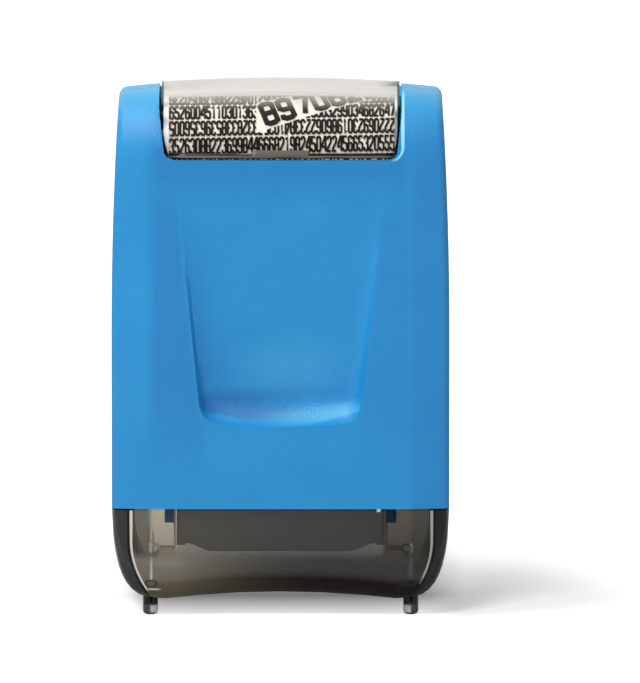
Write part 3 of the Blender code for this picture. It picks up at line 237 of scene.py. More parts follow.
# Lines and places that the painted shade and highlights on the blue shell follow, in mm; a curve is a height
# per squared x
SCOOP_HALF, SCOOP_FLARE = 9.6, 0.11
LIP_Z, LIP_SLOPE = 35.0, 0.13
SPECKLE_RISE, SPECKLE_START = 2.2, -1.1
BOWL_Z, BOWL_CURVE = 32.0, 0.0142
HOLLOW_Z, HOLLOW_CURVE = 32.3, 0.008
CORNER_X, CORNER_Z, CORNER_RADIUS = 18.1, 78.6, 2.26
# Fades of these marks in mm: from, to and the strengths there where they aren't 0 and 1
SHELL_FRONT_Y, SCOOP_INSIDE = (-8.0, -10.0), (0.0, 0.6)
BESIDE_INNER, BESIDE_ALONG, BESIDE_X = (0.3, -0.6), (22.4, 20.6), (10.0, -10.0, 0.5, 0.9)
BESIDE_LOW_Z, BESIDE_HIGH_Z = (24.0, 40.0), (76.0, 66.0)
SIDE_X, SIDE_Z = (20.5, 23.0), (88.0, 76.0, 0.35, 0.65)
BELOW_Z, BELOW_ALONG = (68.0, 74.0), (23.0, 20.0)
FLANK_START, FLANK_END, FLANK_X = (-0.1, 0.5), (6.5, 0.5), (1.0, -3.0)
FLANK_LOW_Z, FLANK_HIGH_Z = (32.5, 34.5), (70.0, 58.0)
BROW_ALONG = (13.6, 11.0)
LIP_LEFT, LIP_LEFT_BOWL, LIP_LEFT_X = (-0.6, 0.6), (0.3, 0.9), (5.0, -7.0)
HOLLOW_HIGH_Z, HOLLOW_LOW, HOLLOW_X = (38.2, 36.6), (0.6, 1.2), (4.0, -5.0, 0.0, 0.8)
SHINE_LIP, SHINE_BOWL, SHINE_X = (0.0, 1.3), (0.0, 0.4), (-6.0, 8.0, 0.0, 0.36)
EARS_Z, EARS_X = (82.0, 88.0), (10.0, -20.0, 0.35, 0.5)
EDGE_X, EDGE_Y, EDGE_HIGH_Z, EDGE_HALF_Z = (18.4, 19.6), (-4.0, -6.0), (88.6, 86.5), (77.0, 79.0, 0.08, 0.2)
# Marks round a place: the middle, half the width and the soft edge
BROW_Z, SHEEN_Z, SHEEN_X = (37.0, 0.7, 1.0), (41.5, 1.0, 5.5), (2.0, 3.0, 9.0)
EDGE_SOFT = 0.16
# Its colours: the plain blue, painted shade and painted highlights; and how strong the marks are
BLUE_LIGHT, BLUE_DARK = (0.014, 0.268, 0.597), (0.011, 0.243, 0.557)
BLUE_PAINTED_SHADE, BLUE_HOLLOW_SHADE = (0.009, 0.196, 0.490), (0.005, 0.135, 0.37)
BLUE_PAINTED_HIGHLIGHT, BLUE_EDGE_HIGHLIGHT = (0.125, 0.57, 0.80), (0.28, 0.78, 0.95)
BELOW_SHARE, FLANK_SHARE, BROW_SHARE, SHEEN_SHARE, EDGE_SHARE = 0.8, 0.55, 0.5, 0.16, 0.9


def shell_finish():
    """Blue with a fine grain. Painted shade darkens it beside the scoop, on the scoop's left flank and left
    of its lip, and painted highlights lighten the ear tops, the lip, the scoop's middle and the line round
    the window's right corner."""
    material, tree, out = new_material("blue_shell_plastic")
    x, y, z, along, _ = place_in_mm(tree)
    height, cloud = place_grain(tree, grain_mm=0.34, cloud_mm=14.0)
    front = ramp(tree, y, *SHELL_FRONT_Y)
    inner = less(tree, line_at(tree, z, SCOOP_FLARE, SCOOP_HALF), along)
    inside = every(tree, ramp(tree, inner, *SCOOP_INSIDE), front)
    speckled = line_at(tree, height, SPECKLE_RISE, SPECKLE_START)
    lip = less(tree, maths(tree, "ADD", line_at(tree, x, LIP_SLOPE, LIP_Z), speckled), z)
    bowl = less(tree, z, line_at(tree, squared(tree, x), BOWL_CURVE, BOWL_Z))
    above = less(tree, z, line_at(tree, squared(tree, x), HOLLOW_CURVE, HOLLOW_Z))

    # Painted shade: beside the scoop, the right side, below the window, the left flank, the brow, the lip's
    # left and, most of all, the hollow under it
    beside = every(tree, ramp(tree, inner, *BESIDE_INNER), ramp(tree, along, *BESIDE_ALONG), front,
                   ramp(tree, z, *BESIDE_LOW_Z), ramp(tree, z, *BESIDE_HIGH_Z), ramp(tree, x, *BESIDE_X))
    side = every(tree, ramp(tree, x, *SIDE_X), front, ramp(tree, z, *SIDE_Z))
    below = every(tree, ramp(tree, z, *BELOW_Z), ramp(tree, along, *BELOW_ALONG), front)
    flank = every(tree, ramp(tree, inner, *FLANK_START), ramp(tree, inner, *FLANK_END),
                  ramp(tree, x, *FLANK_X), ramp(tree, z, *FLANK_HIGH_Z), ramp(tree, z, *FLANK_LOW_Z), front)
    brow = every(tree, near(tree, z, *BROW_Z), inside, ramp(tree, along, *BROW_ALONG))
    lip_left = every(tree, ramp(tree, lip, *LIP_LEFT), ramp(tree, x, *LIP_LEFT_X),
                     ramp(tree, bowl, *LIP_LEFT_BOWL), inside)
    painted_shade = most(tree, beside, side, every(tree, below, BELOW_SHARE), every(tree, flank, FLANK_SHARE),
                every(tree, brow, BROW_SHARE), lip_left)
    hollow = every(tree, ramp(tree, z, *HOLLOW_HIGH_Z), ramp(tree, x, *HOLLOW_X),
                   ramp(tree, above, *HOLLOW_LOW), inside)

    # Painted highlights: the lip, the scoop's middle, the ear tops, and the line down the window's edge and
    # its corner
    painted_shine = every(tree, ramp(tree, lip, *SHINE_LIP), ramp(tree, bowl, *SHINE_BOWL), inside,
                  ramp(tree, x, *SHINE_X))
    painted_sheen = every(tree, near(tree, z, *SHEEN_Z), near(tree, x, *SHEEN_X), front, SHEEN_SHARE)
    painted_ear_light = every(tree, ramp(tree, z, *EARS_Z), ramp(tree, x, *EARS_X))
    off = add_node(tree, "ShaderNodeCombineXYZ", {
        0: less(tree, x, CORNER_X), 1: most(tree, less(tree, CORNER_Z, z), 0.0)})
    off = add_node(tree, "ShaderNodeVectorMath", {0: off.outputs[0]}, operation="LENGTH").outputs["Value"]
    edge = every(tree, near(tree, off, CORNER_RADIUS, ramp(tree, z, *EDGE_HALF_Z), EDGE_SOFT),
                 ramp(tree, x, *EDGE_X), ramp(tree, z, *EDGE_HIGH_Z), ramp(tree, y, *EDGE_Y), EDGE_SHARE)

    # The plain blue, then painted shade and painted highlights laid over it
    colour = cloud_colour(tree, cloud, BLUE_LIGHT, BLUE_DARK)
    colour = mixed(tree, painted_shade, colour, BLUE_PAINTED_SHADE)
    colour = mixed(tree, hollow, colour, BLUE_HOLLOW_SHADE)
    colour = mixed(tree, most(tree, painted_shine, painted_ear_light, painted_sheen), colour, BLUE_PAINTED_HIGHLIGHT)
    colour = mixed(tree, edge, colour, BLUE_EDGE_HIGHLIGHT)
    principled(tree, out, {"Base Color": colour, "Specular IOR Level": 0.4,
                           "Roughness": cloud_gloss(tree, cloud, low=0.37, high=0.47),
                           "Normal": grain_bump(tree, height, depth_mm=0.08)})
    return material


# Lines and places on the smoky cap, in mm
CAP_LINE_LEFT, CAP_LINE_RIGHT = 24.9, 25.2
CAP_ROUND_Z, CAP_ROUND_CURVE = 13.0, 0.0388
ARCH_Z, ARCH_CURVE, ARCH_RISE = 4.1, 0.0031, 1.15
DIMPLE_X, DIMPLE_HALF_X, DIMPLE_Z, DIMPLE_HALF_Z = 21.6, 1.05, 5.8, 0.62
# Fades of its marks in mm: from, to and the strengths there where they aren't 0 and 1
LEFT_TO_RIGHT_X, LIT_X, TINT_X = (-10.0, 10.0), (8.0, -17.0), (10.0, -16.0)
CAP_FRONT_DEPTH, BAND_DEPTH, CAP_REAR_Y = (14.8, 15.2), (10.5, 12.0), (2.0, 12.0)
BAND_INWARD, LINE_HALF_Z = (-0.2, -0.35), (6.0, 17.0, 0.08, 0.2)
LINE_START_Z, LINE_FULL_Z = (4.4, 5.6), (4.9, 7.0)
BROWN_HEIGHT, RIM_HEIGHT = (5.8, 2.6), (5.4, 1.2)
DIMPLE_OFF, DIMPLE_RIM_OFF = (1.25, 0.85), (0.2, 0.9)
SILL_Z, CLEARER_Z, PATCH_Z = (11.2, 9.8), (15.5, 15.9), (10.9, 11.3)
MIDDLE_ALONG, MIDDLE_Z = (17.3, 16.9), (9.6, 10.8)
# Marks round a place: the middle, half the width and the soft edge
SEAM_INWARD, CLEARER_ALONG, PATCH_ALONG = (-0.48, 0.12, 0.1), (18.55, 0.95, 0.15), (19.6, 2.1, 0.5)
RIB_ALONG, RIB_Z, LAP_ALONG, LAP_Z = (21.55, 0.1, 0.16), (8.1, 1.2, 1.2), (21.2, 0.6, 0.8), (4.8, 0.06, 0.16)
LINE_SOFT = 0.12
# How strong the marks are
BAND_SHARE, SEAM_SHARE, LINE_SHARE, DIMPLE_SHARE, RIB_SHARE = 0.93, 0.95, 0.9, 0.85, 0.7
THIN_SHARE, RIM_SHARE, REAR_RIM_SHARE, EDGE_ON_SHARE = 0.15, 0.96, 0.28, 0.2
GLOW_DIM_SHARE, GLOW_LIT_SHARE, CLEARER_SHARE = 0.06, 0.4, 0.2
# Its colours, painted for how the lamps fall on it: where it is dim and where it is lit, or at the left and
# at the right
SMOKY_PALE = (0.150, 0.147, 0.138), (0.28, 0.255, 0.205)
SMOKY_BROWN = (0.006, 0.004, 0.002), (0.085, 0.072, 0.046)
SMOKY_BAND = (0.034, 0.034, 0.036), (0.020, 0.020, 0.022)
SMOKY_LINE_HIGHLIGHT = (0.37, 0.37, 0.30), (0.66, 0.645, 0.59)
SMOKY_DIMPLE = (0.012, 0.011, 0.009), (0.09, 0.09, 0.08)
SMOKY_SEAM, SMOKY_DIMPLE_RIM = (0.004, 0.004, 0.004), (0.02, 0.02, 0.017)
# Its tints, painted lit to the left and dim to the right: the wall, then the patch before the cartridge's
# sides
TINT_DIM = (0.49, 0.48, 0.455), (0.545, 0.525, 0.495)
TINT_LIT = (0.585, 0.58, 0.55), (0.80, 0.775, 0.735)
TINT_MIDDLE, TINT_TONGUE = (0.88, 0.875, 0.865), (0.54, 0.65, 0.70)


def smoky_finish():
    """Smoky brown: clear where it is thin and dark along its upright edges, the band there painted darker on
    the right as shade, clearer before the blue tongues. Painted shade darkens its lower rim and a painted
    glow of light lies over the sill.
    A painted highlight line follows the inside of each edge, and a dimple stands over each foot."""
    material, tree, out = new_material("smoky_cap_plastic")
    x, y, z, along, across = place_in_mm(tree)

    def left_to_right(at_left, at_right):
        return ramp(tree, x, *LEFT_TO_RIGHT_X, at_left, at_right)

    right = left_to_right(0.0, 1.0)
    # Painted light: strongest at the left, towards the lamps
    lit = squared(tree, ramp(tree, x, *LIT_X))
    front = ramp(tree, across, *CAP_FRONT_DEPTH)
    rear = ramp(tree, y, *CAP_REAR_Y)

    # How far in from the edge's painted highlight line, and how far up from the arched lower edge
    rounding = every(tree, squared(tree, most(tree, less(tree, CAP_ROUND_Z, z), 0.0)), CAP_ROUND_CURVE)
    inward = less(tree, less(tree, left_to_right(CAP_LINE_LEFT, CAP_LINE_RIGHT), rounding), along)
    arch = maths(tree, "MINIMUM", every(tree, squared(tree, x), ARCH_CURVE), ARCH_RISE)
    height = maths(tree, "ADD", less(tree, z, ARCH_Z), arch)

    # The dark band at the edge, the painted highlight lines and the seam, the dimple and the clearer part
    band = every(tree, ramp(tree, inward, *BAND_INWARD), ramp(tree, across, *BAND_DEPTH))
    line = every(tree, near(tree, inward, 0.0, ramp(tree, z, *LINE_HALF_Z), LINE_SOFT), front,
                 ramp(tree, z, left_to_right(*LINE_START_Z), left_to_right(*LINE_FULL_Z)))
    rib = every(tree, near(tree, along, *RIB_ALONG), near(tree, z, *RIB_Z), front, lit)
    lap = every(tree, near(tree, z, *LAP_Z), near(tree, along, *LAP_ALONG), front, lit)
    line = most(tree, line, every(tree, rib, RIB_SHARE), every(tree, lap, RIB_SHARE))
    seam = every(tree, near(tree, inward, *SEAM_INWARD), front)
    off = maths(tree, "ADD", squared(tree, maths(tree, "DIVIDE", less(tree, along, DIMPLE_X), DIMPLE_HALF_X)),
                squared(tree, maths(tree, "DIVIDE", less(tree, z, DIMPLE_Z), DIMPLE_HALF_Z)))
    dimple = every(tree, ramp(tree, off, *DIMPLE_OFF), front)
    clearer = every(tree, near(tree, along, *CLEARER_ALONG), ramp(tree, z, *CLEARER_Z), front)

    colour = mixed(tree, ramp(tree, height, *BROWN_HEIGHT), mixed(tree, lit, *SMOKY_PALE),
                   mixed(tree, lit, *SMOKY_BROWN))
    colour = mixed(tree, band, colour, mixed(tree, right, *SMOKY_BAND))
    colour = mixed(tree, seam, colour, SMOKY_SEAM)
    colour = mixed(tree, line, colour, mixed(tree, lit, *SMOKY_LINE_HIGHLIGHT))
    hollow = mixed(tree, ramp(tree, off, *DIMPLE_RIM_OFF), mixed(tree, lit, *SMOKY_DIMPLE), SMOKY_DIMPLE_RIM)
    colour = mixed(tree, dimple, colour, hollow)

    # How much of its own colour shows: least where it is thin, most at the rim, where it is painted shade,
    # and a painted glow of light over the sill
    edge = add_node(tree, "ShaderNodeLayerWeight", {"Blend": 0.25}).outputs["Facing"]
    rim = ramp(tree, rear, 0.0, 1.0, RIM_SHARE, REAR_RIM_SHARE)
    share = maths(tree, "ADD", ramp(tree, ramp(tree, height, *RIM_HEIGHT), 0.0, 1.0, THIN_SHARE, rim),
                  maths(tree, "MULTIPLY", edge, EDGE_ON_SHARE))
    share = every(tree, share, ramp(tree, clearer, 0.0, 1.0, 1.0, CLEARER_SHARE))
    glow = every(tree, ramp(tree, z, *SILL_Z), ramp(tree, lit, 0.0, 1.0, GLOW_DIM_SHARE, GLOW_LIT_SHARE),
                 front, less(tree, 1.0, rear))
    share = most(tree, maths(tree, "ADD", share, glow), every(tree, band, BAND_SHARE),
                 every(tree, seam, SEAM_SHARE), every(tree, line, LINE_SHARE),
                 every(tree, dimple, DIMPLE_SHARE))

    patch = every(tree, near(tree, along, *PATCH_ALONG), most(tree, ramp(tree, z, *PATCH_Z), rear))
    tint = mixed(tree, ramp(tree, x, *TINT_X), mixed(tree, patch, *TINT_DIM), mixed(tree, patch, *TINT_LIT))
    # Painted light: a lighter tint in the middle, over the cartridge that lies in shade behind it
    middle = every(tree, ramp(tree, along, *MIDDLE_ALONG), ramp(tree, z, *MIDDLE_Z))
    tint = mixed(tree, middle, tint, TINT_MIDDLE)
    tint = mixed(tree, every(tree, clearer, right), tint, TINT_TONGUE)
    see_through(tree, out, tint, share, colour, roughness=0.14, grain_mm=6.0, cloud_mm=14.0, gloss=0.12)
    return material


def around_drum(tree):
    """Angle about the drum's axis in degrees, from the front over the top, x and how far out along it."""
    place = add_node(tree, "ShaderNodeTexCoord").outputs["Object"]
    parts = add_node(tree, "ShaderNodeSeparateXYZ", {0: place})
    turn = maths(tree, "ARCTAN2", less(tree, parts.outputs["Z"], AXIS_Z),
                 maths(tree, "MULTIPLY", parts.outputs["Y"], -1.0))
    x = maths(tree, "MULTIPLY", parts.outputs["X"], 1 / MM)
    return maths(tree, "MULTIPLY", turn, 180 / pi), x, maths(tree, "ABSOLUTE", x)


# Fades on the clear cover, from and to: degrees about the drum, and mm along it
HAZE_DEG, CROWN_DEG, UPPER_BRINK_DEG = (42.0, 58.0), (58.0, 61.5), (46.0, 48.5)
BAR_DEG, TAB_DEG, FOOT_LINE_DEG = (4.5, 4.7), (8.3, 8.6), (2.9, 2.6)
END_COLOUR_DEG, SHADED_DEG, SHADED_X = (60.0, 50.0), (62.0, 72.0), (-6.0, -17.0, 0.0, 0.35)
TAB_MM, END_MM, BRINK_MM, OVER_BAR_MM = (4.55, 4.7), (18.75, 18.87), (19.42, 19.5), (18.6, 18.8, 1.0, 0.0)
# Lines on it: the middle, half the width and the soft edge
OVER_BAR_DEG, TAB_SIDE_DEG, TAB_SIDE_MM = (5.35, 0.8, 0.25), (6.4, 1.6, 0.3), (4.75, 0.08, 0.06)
END_LEAN = -0.011
BRINK_ROUND_DEG, BRINK_ROUND_CURVE = 26.0, 0.0019
# Its shares of colour, and the colours
HAZE_SHARE, CROWN_SHARE, END_SHARE, BAR_SHARE, TAB_SHARE, SHADOW_LINE_SHARE = 0.34, 0.97, 0.93, 0.96, 0.9, 0.96
VEIL_SHARE, VEIL_EDGE_ON_SHARE, MILKY_FROM = 0.006, 0.3, 0.1
COVER_THIN, COVER_MILK, COVER_END = (0.35, 0.34, 0.32), (0.62, 0.605, 0.565), (0.80, 0.785, 0.735)
COVER_SHADED, COVER_CLAY, COVER_SHADOW_LINE = (0.40, 0.39, 0.365), (0.105, 0.093, 0.072), (0.006, 0.005, 0.004)
COVER_BRINK = (0.006, 0.006, 0.006), (0.10, 0.098, 0.094)
COVER_TINT = (0.985, 0.98, 0.97)


def cover_finish():
    """Clear over the type, pale over the crown and at its ends, milky in the bar and the tab,
    with painted shadow lines where these stand out and a dark line painted at its outer brinks."""
    material, tree, out = new_material("clear_cover_plastic")
    angle, x, along = around_drum(tree)
    haze = ramp(tree, angle, *HAZE_DEG, 0.0, HAZE_SHARE)
    crown = ramp(tree, angle, *CROWN_DEG, 0.0, CROWN_SHARE)
    ends = ramp(tree, line_at(tree, x, END_LEAN, along), *END_MM, 0.0, END_SHARE)
    milk = most(tree, crown, haze, ends)
    beside = ramp(tree, along, *TAB_MM)
    bar = ramp(tree, angle, *BAR_DEG, BAR_SHARE, 0.0)
    tab = every(tree, ramp(tree, angle, *TAB_DEG, TAB_SHARE, 0.0), less(tree, 1.0, beside))
    clay = most(tree, bar, tab)

    # Painted shadow lines where the bar and the tab step out: over the bar on each side of the tab, along the
    # tab's sides and under the bar
    over_bar = every(tree, near(tree, angle, *OVER_BAR_DEG), beside, ramp(tree, along, *OVER_BAR_MM))
    tab_side = every(tree, near(tree, along, *TAB_SIDE_MM), near(tree, angle, *TAB_SIDE_DEG))
    painted_shadow_lines = most(tree, over_bar, tab_side, ramp(tree, angle, *FOOT_LINE_DEG))

    # The outermost brink, painted dark as the shaded gap beside the ears, draws in towards the bar
    under = most(tree, less(tree, BRINK_ROUND_DEG, angle), 0.0)
    draw_in = every(tree, squared(tree, under), BRINK_ROUND_CURVE)
    brink = ramp(tree, maths(tree, "ADD", along, draw_in), *BRINK_MM)
    shaded = every(tree, ramp(tree, x, *SHADED_X), ramp(tree, angle, *SHADED_DEG))
    colour = mixed(tree, ramp(tree, milk, 0.0, MILKY_FROM), COVER_THIN, COVER_MILK)
    colour = mixed(tree, every(tree, ends, ramp(tree, angle, *END_COLOUR_DEG)), colour, COVER_END)
    colour = mixed(tree, shaded, colour, COVER_SHADED)
    colour = mixed(tree, brink, colour, mixed(tree, ramp(tree, angle, *UPPER_BRINK_DEG), *COVER_BRINK))
    colour = mixed(tree, clay, colour, COVER_CLAY)
    colour = mixed(tree, painted_shadow_lines, colour, COVER_SHADOW_LINE)

    edge = add_node(tree, "ShaderNodeLayerWeight", {"Blend": 0.2}).outputs["Facing"]
    veil = maths(tree, "ADD", VEIL_SHARE, maths(tree, "MULTIPLY", edge, VEIL_EDGE_ON_SHARE))
    share = most(tree, milk, veil, clay, every(tree, painted_shadow_lines, SHADOW_LINE_SHARE))
    see_through(tree, out, COVER_TINT, share, colour, roughness=0.16, grain_mm=5.0, cloud_mm=12.0, gloss=0.15,
                shade=0.15)
    return material


FOOT_SHARE, FOOT_DARK_SHARE = 0.6, 0.96
FOOT_TOP_Z, FOOT_TIP_Z, FOOT_OUTER_X = (1.35, 1.75), (0.4, 0.25), (21.5, 21.9, 0.0, 0.93)
FOOT_OUTLINE = (0.45, 0.8, 0.0, 0.9)
FOOT_CLEAR, FOOT_DARK, FOOT_TINT = (0.93, 0.93, 0.91), (0.012, 0.012, 0.012), (0.97, 0.97, 0.96)


def foot_finish():
    """Clear, with a dark upper end, tip and outer side painted as shade and dark reflections, and dark
    outlines.
    """
    material, tree, out = new_material("clear_foot_plastic")
    _, _, z, along, _ = place_in_mm(tree)
    dark = most(tree, ramp(tree, z, *FOOT_TOP_Z), ramp(tree, z, *FOOT_TIP_Z),
                ramp(tree, along, *FOOT_OUTER_X))
    edge = add_node(tree, "ShaderNodeLayerWeight", {"Blend": 0.35}).outputs["Facing"]
    outline = ramp(tree, edge, *FOOT_OUTLINE)
    share = most(tree, outline, every(tree, dark, FOOT_DARK_SHARE), FOOT_SHARE)
    colour = mixed(tree, most(tree, outline, dark), FOOT_CLEAR, FOOT_DARK)
    see_through(tree, out, FOOT_TINT, share, colour, roughness=0.08, grain_mm=3.0, cloud_mm=6.0, gloss=0.2)
    return material


INNER_X = (6.0, -14.0)


def inner_finish(name, left, right):
    """Frosted plastic inside the cap, painted bright where light comes in and dim at the other end."""
    material, tree, out = new_material(name)
    x = place_in_mm(tree)[0]
    height, cloud = place_grain(tree, grain_mm=0.3, cloud_mm=3.0)
    principled(tree, out, {"Base Color": mixed(tree, ramp(tree, x, *INNER_X), right, left),
                           "Roughness": cloud_gloss(tree, cloud, low=0.42, high=0.55),
                           "Normal": grain_bump(tree, height, depth_mm=0.02)})
    return material


GLINT_X, GLINT_Z = (16.4, 0.22, 0.2), (17.0, 0.28, 0.2)
BALL_METAL, BALL_GLINT, BLACK = (0.9, 0.9, 0.88), (1.0, 1.0, 0.98), (0.0, 0.0, 0.0)


def ball_finish():
    """A polished ball with a painted glint of the lamp, glowing on its lower right."""
    material, tree, out = new_material("polished_ball")
    x, _, z, _, _ = place_in_mm(tree)
    glint = every(tree, near(tree, x, *GLINT_X), near(tree, z, *GLINT_Z))
    cloud = place_grain(tree, grain_mm=0.2, cloud_mm=2.0)[1]
    uneven = ramp(tree, cloud, 0.2, 0.8, to_low=0.15, to_high=0.25)
    principled(tree, out, {"Base Color": rgba(BALL_METAL), "Roughness": uneven, "Metallic": 1.0,
                           "Emission Strength": 1.0,
                           "Emission Color": mixed(tree, glint, BLACK, BALL_GLINT)})
    return material


FINISHES = {
    "blue": shell_finish(),
    "smoky": smoky_finish(),
    "clear": cover_finish(),
    "foot": foot_finish(),
    "dark": plain_finish("dark_cartridge_plastic", (0.168, 0.168, 0.170), (0.150, 0.150, 0.153), 0.5,
                         grain_mm=0.35, bump=0.003),
    "pale": inner_finish("pale_rib_plastic", (0.92, 0.89, 0.82), (0.25, 0.235, 0.21)),
    "ball": ball_finish(),
    "grey": plain_finish("grey_yoke_plastic", (0.30, 0.31, 0.33), (0.26, 0.27, 0.29), 0.45),
    "acetal": plain_finish("acetal_spool", (0.82, 0.81, 0.77), (0.76, 0.75, 0.71), 0.4, bump=0.01),
    "rubber": plain_finish("cream_type_rubber", (0.93, 0.895, 0.81), (0.88, 0.845, 0.755), 0.6,
                           grain_mm=0.12, cloud_mm=2.5, bump=0.015),
    "ink": plain_finish("inked_type_face", (0.004, 0.003, 0.002), (0.009, 0.006, 0.004), 0.5,
                        grain_mm=0.15, cloud_mm=1.2, bump=0.01, Specular_IOR_Level=0.06),
    "felt": plain_finish("ink_soaked_felt", (0.020, 0.020, 0.024), (0.055, 0.055, 0.062), 0.85,
                         grain_mm=0.18, cloud_mm=2.0, bump=0.18),
    "steel": plain_finish("bright_steel", (0.62, 0.63, 0.65), (0.52, 0.53, 0.55), 0.26, metallic=1.0,
                          grain_mm=0.12, bump=0.004),
    "bronze": plain_finish("oiled_bronze", (0.58, 0.40, 0.18), (0.46, 0.31, 0.13), 0.36, metallic=1.0,
                           grain_mm=0.2, bump=0.01),
}
NODE_FINISHES = {
    "front_shell": "blue", "rear_shell": "blue", "tail_cap": "smoky", "drum_cover": "clear",
    "ink_cartridge": "dark", "fill_plug": "ball", "ink_reservoir": "felt", "ink_wick": "felt",
    "ink_roller_felt": "felt", "ink_roller_core": "acetal", "ink_roller_axle": "steel",
    "spring_plate": "grey", "ink_yoke": "grey", "drum_core": "acetal", "type_sleeve": "rubber",
    "drum_bush_left": "bronze", "drum_bush_right": "bronze", "drum_axle": "steel",
    "axle_clip_left": "steel", "axle_clip_right": "steel", "yoke_spring_left": "steel",
    "yoke_spring_right": "steel", "shell_screw_lower_left": "steel", "shell_screw_lower_right": "steel",
    "shell_screw_upper_left": "steel", "shell_screw_upper_right": "steel",
    "cap_foot_front_left": "foot", "cap_foot_front_right": "foot", "cap_foot_rear_left": "foot",
    "cap_foot_rear_right": "foot",
}


# The moulded pieces: edges broken, faces smooth

EDGE_WIDTHS_MM = {"front_shell": 0.4, "rear_shell": 0.4, "tail_cap": 0.2, "ink_cartridge": 0.08,
                  "spring_plate": 0.08, "ink_yoke": 0.08}
EDGE_STEPS = 3
SHARP_DEG = 32.0
FLAT_DEG = 0.4
JOIN_WITHIN = 0.002 * MM


def soften(node, width_mm):
    for face in node.data.polygons:
        face.use_smooth = True
    join = node.modifiers.new("join", "WELD")
    join.merge_threshold = JOIN_WITHIN
    if width_mm:
        flat = node.modifiers.new("flatten", "DECIMATE")
        flat.decimate_type = "DISSOLVE"
        flat.angle_limit = radians(FLAT_DEG)
        edge = node.modifiers.new("break_edges", "BEVEL")
        edge.width = width_mm * MM
        edge.segments = EDGE_STEPS
        edge.limit_method = "ANGLE"
        edge.angle_limit = radians(SHARP_DEG)
        edge.harden_normals = True
        edge.use_clamp_overlap = True
    even = node.modifiers.new("even_shade", "WEIGHTED_NORMAL")
    even.keep_sharp = False


for name, finish_name in NODE_FINISHES.items():
    node = nodes[name]
    node.data.materials.clear()
    node.data.materials.append(FINISHES[finish_name])
    soften(node, EDGE_WIDTHS_MM.get(name, 0.0))


# Raised type on the drum

ROW_COUNT = 23
FIRST_ROW_DEG = 13.9
ROW_TILT_DEG = 1.0
SMALL_HEIGHT = 2.66 * MM
SMALL_WIDTH = 0.87 * MM
SMALL_STROKE = 0.31 * MM
SMALL_PITCH = 0.875 * MM
SMALL_SHIFT = 0.23 * MM
LARGE_HEIGHT = 4.9 * MM
LARGE_WIDTH = 2.75 * MM
LARGE_STROKE = 0.85 * MM
LARGE_PITCH = 2.95 * MM
LARGE_COUNT = 9
LARGE_START_X = -3.6 * MM
LARGE_START_DEG = 40.5
LARGE_START_SHARE = 0.6
LARGE_SLOPE_DEG = 19.5
LARGE_TURNS = 3
STRIP_HALF = LARGE_HEIGHT / 2 + 0.45 * MM
STRIP_END = 0.5 * MM
SLEEVE_MARGIN = 0.35 * MM
TYPE_RELIEF = 0.25 * MM
TYPE_ROOT = 0.05 * MM
MITRE_LIMIT = 0.6
CUT_WITHIN = 1e-7
DRAWN_DIGITS = "00223345566788991"
DRAW_SEED = 20


def digit_paths(inner):
    """Strokes of the plain digits, in shares of half a digit; inner is the inside of a stem."""
    over = ((-1, 0.84), (-0.45, 1), (0.45, 1), (1, 0.84))
    under = ((1, -0.84), (0.45, -1), (-0.45, -1), (-1, -0.84))
    six = ((1, 0.6),) + over[::-1] + under[::-1] + ((1, -0.08), (0.45, 0.1), (-inner, 0.1))
    three = ((-1, 0.6),) + over + ((1, 0.2), (0.3, 0), (1, -0.2)) + under + ((-1, -0.6),)
    return {
        "0": ((over + under, True),),
        "1": ((((-0.8, 0.72), (0.1, 1), (0.1, -1)), False),),
        "2": ((((-1, 0.6),) + over + ((1, 0.3), (-1, -0.72), (-1, -1), (1, -1)), False),),
        "3": ((three, False),),
        "4": ((((1, -1), (1, 1), (0.4, 1), (-1, -0.2), (-1, -0.42), (inner, -0.42)), False),),
        "5": ((((1, 1), (-1, 1), (-1, 0.1), (0.45, 0.1), (1, -0.06)) + under + ((-1, -0.6),), False),),
        "6": ((six, False),),
        "7": ((((-1, 1), (1, 1), (1, 0.7), (-0.2, -1)), False),),
        "8": ((over + under, True), (((-inner, 0), (inner, 0)), False)),
        "9": ((tuple((-x, -y) for x, y in six), False),),
    }


def add_stroke(bm, points, closed, width):
    """Quads along a path, mitred at its corners."""
    count = len(points)
    steps = [(points[(i + 1) % count] - points[i]).normalized() for i in range(count)]
    sides = []
    for i, point in enumerate(points):
        before = steps[i - 1] if closed or i > 0 else steps[i]
        after = steps[i] if closed or i < count - 1 else before
        across = Vector((-before.y - after.y, before.x + after.x, 0))
        across = across / max(across.length_squared / 2, MITRE_LIMIT) * width / 2
        sides.append((bm.verts.new(point + across), bm.verts.new(point - across)))
    if closed:
        sides.append(sides[0])
    for (near_left, near_right), (far_left, far_right) in zip(sides, sides[1:]):
        bm.faces.new((near_left, near_right, far_right, far_left))


def digit_shapes(height, width, stroke):
    half_x, half_y = (width - stroke) / 2, (height - stroke) / 2
    shapes = {}
    for digit, strokes in digit_paths(1 - stroke / 2 / half_x).items():
        bm = bmesh.new()
        for path, closed in strokes:
            add_stroke(bm, [Vector((x * half_x, y * half_y, 0)) for x, y in path], closed, stroke)
        shapes[digit] = bpy.data.meshes.new("digit_" + digit)
        bm.to_mesh(shapes[digit])
        bm.free()
    return shapes


def wrap(bm, start_deg):
    """Lay a flat sheet of type round the drum; its height becomes the angle."""
    for vert in bm.verts:
        turn = radians(start_deg) + vert.co.y / TYPE_RADIUS
        radius = TYPE_RADIUS + vert.co.z
        vert.co = (vert.co.x, -radius * cos(turn), AXIS_Z + radius * sin(turn))


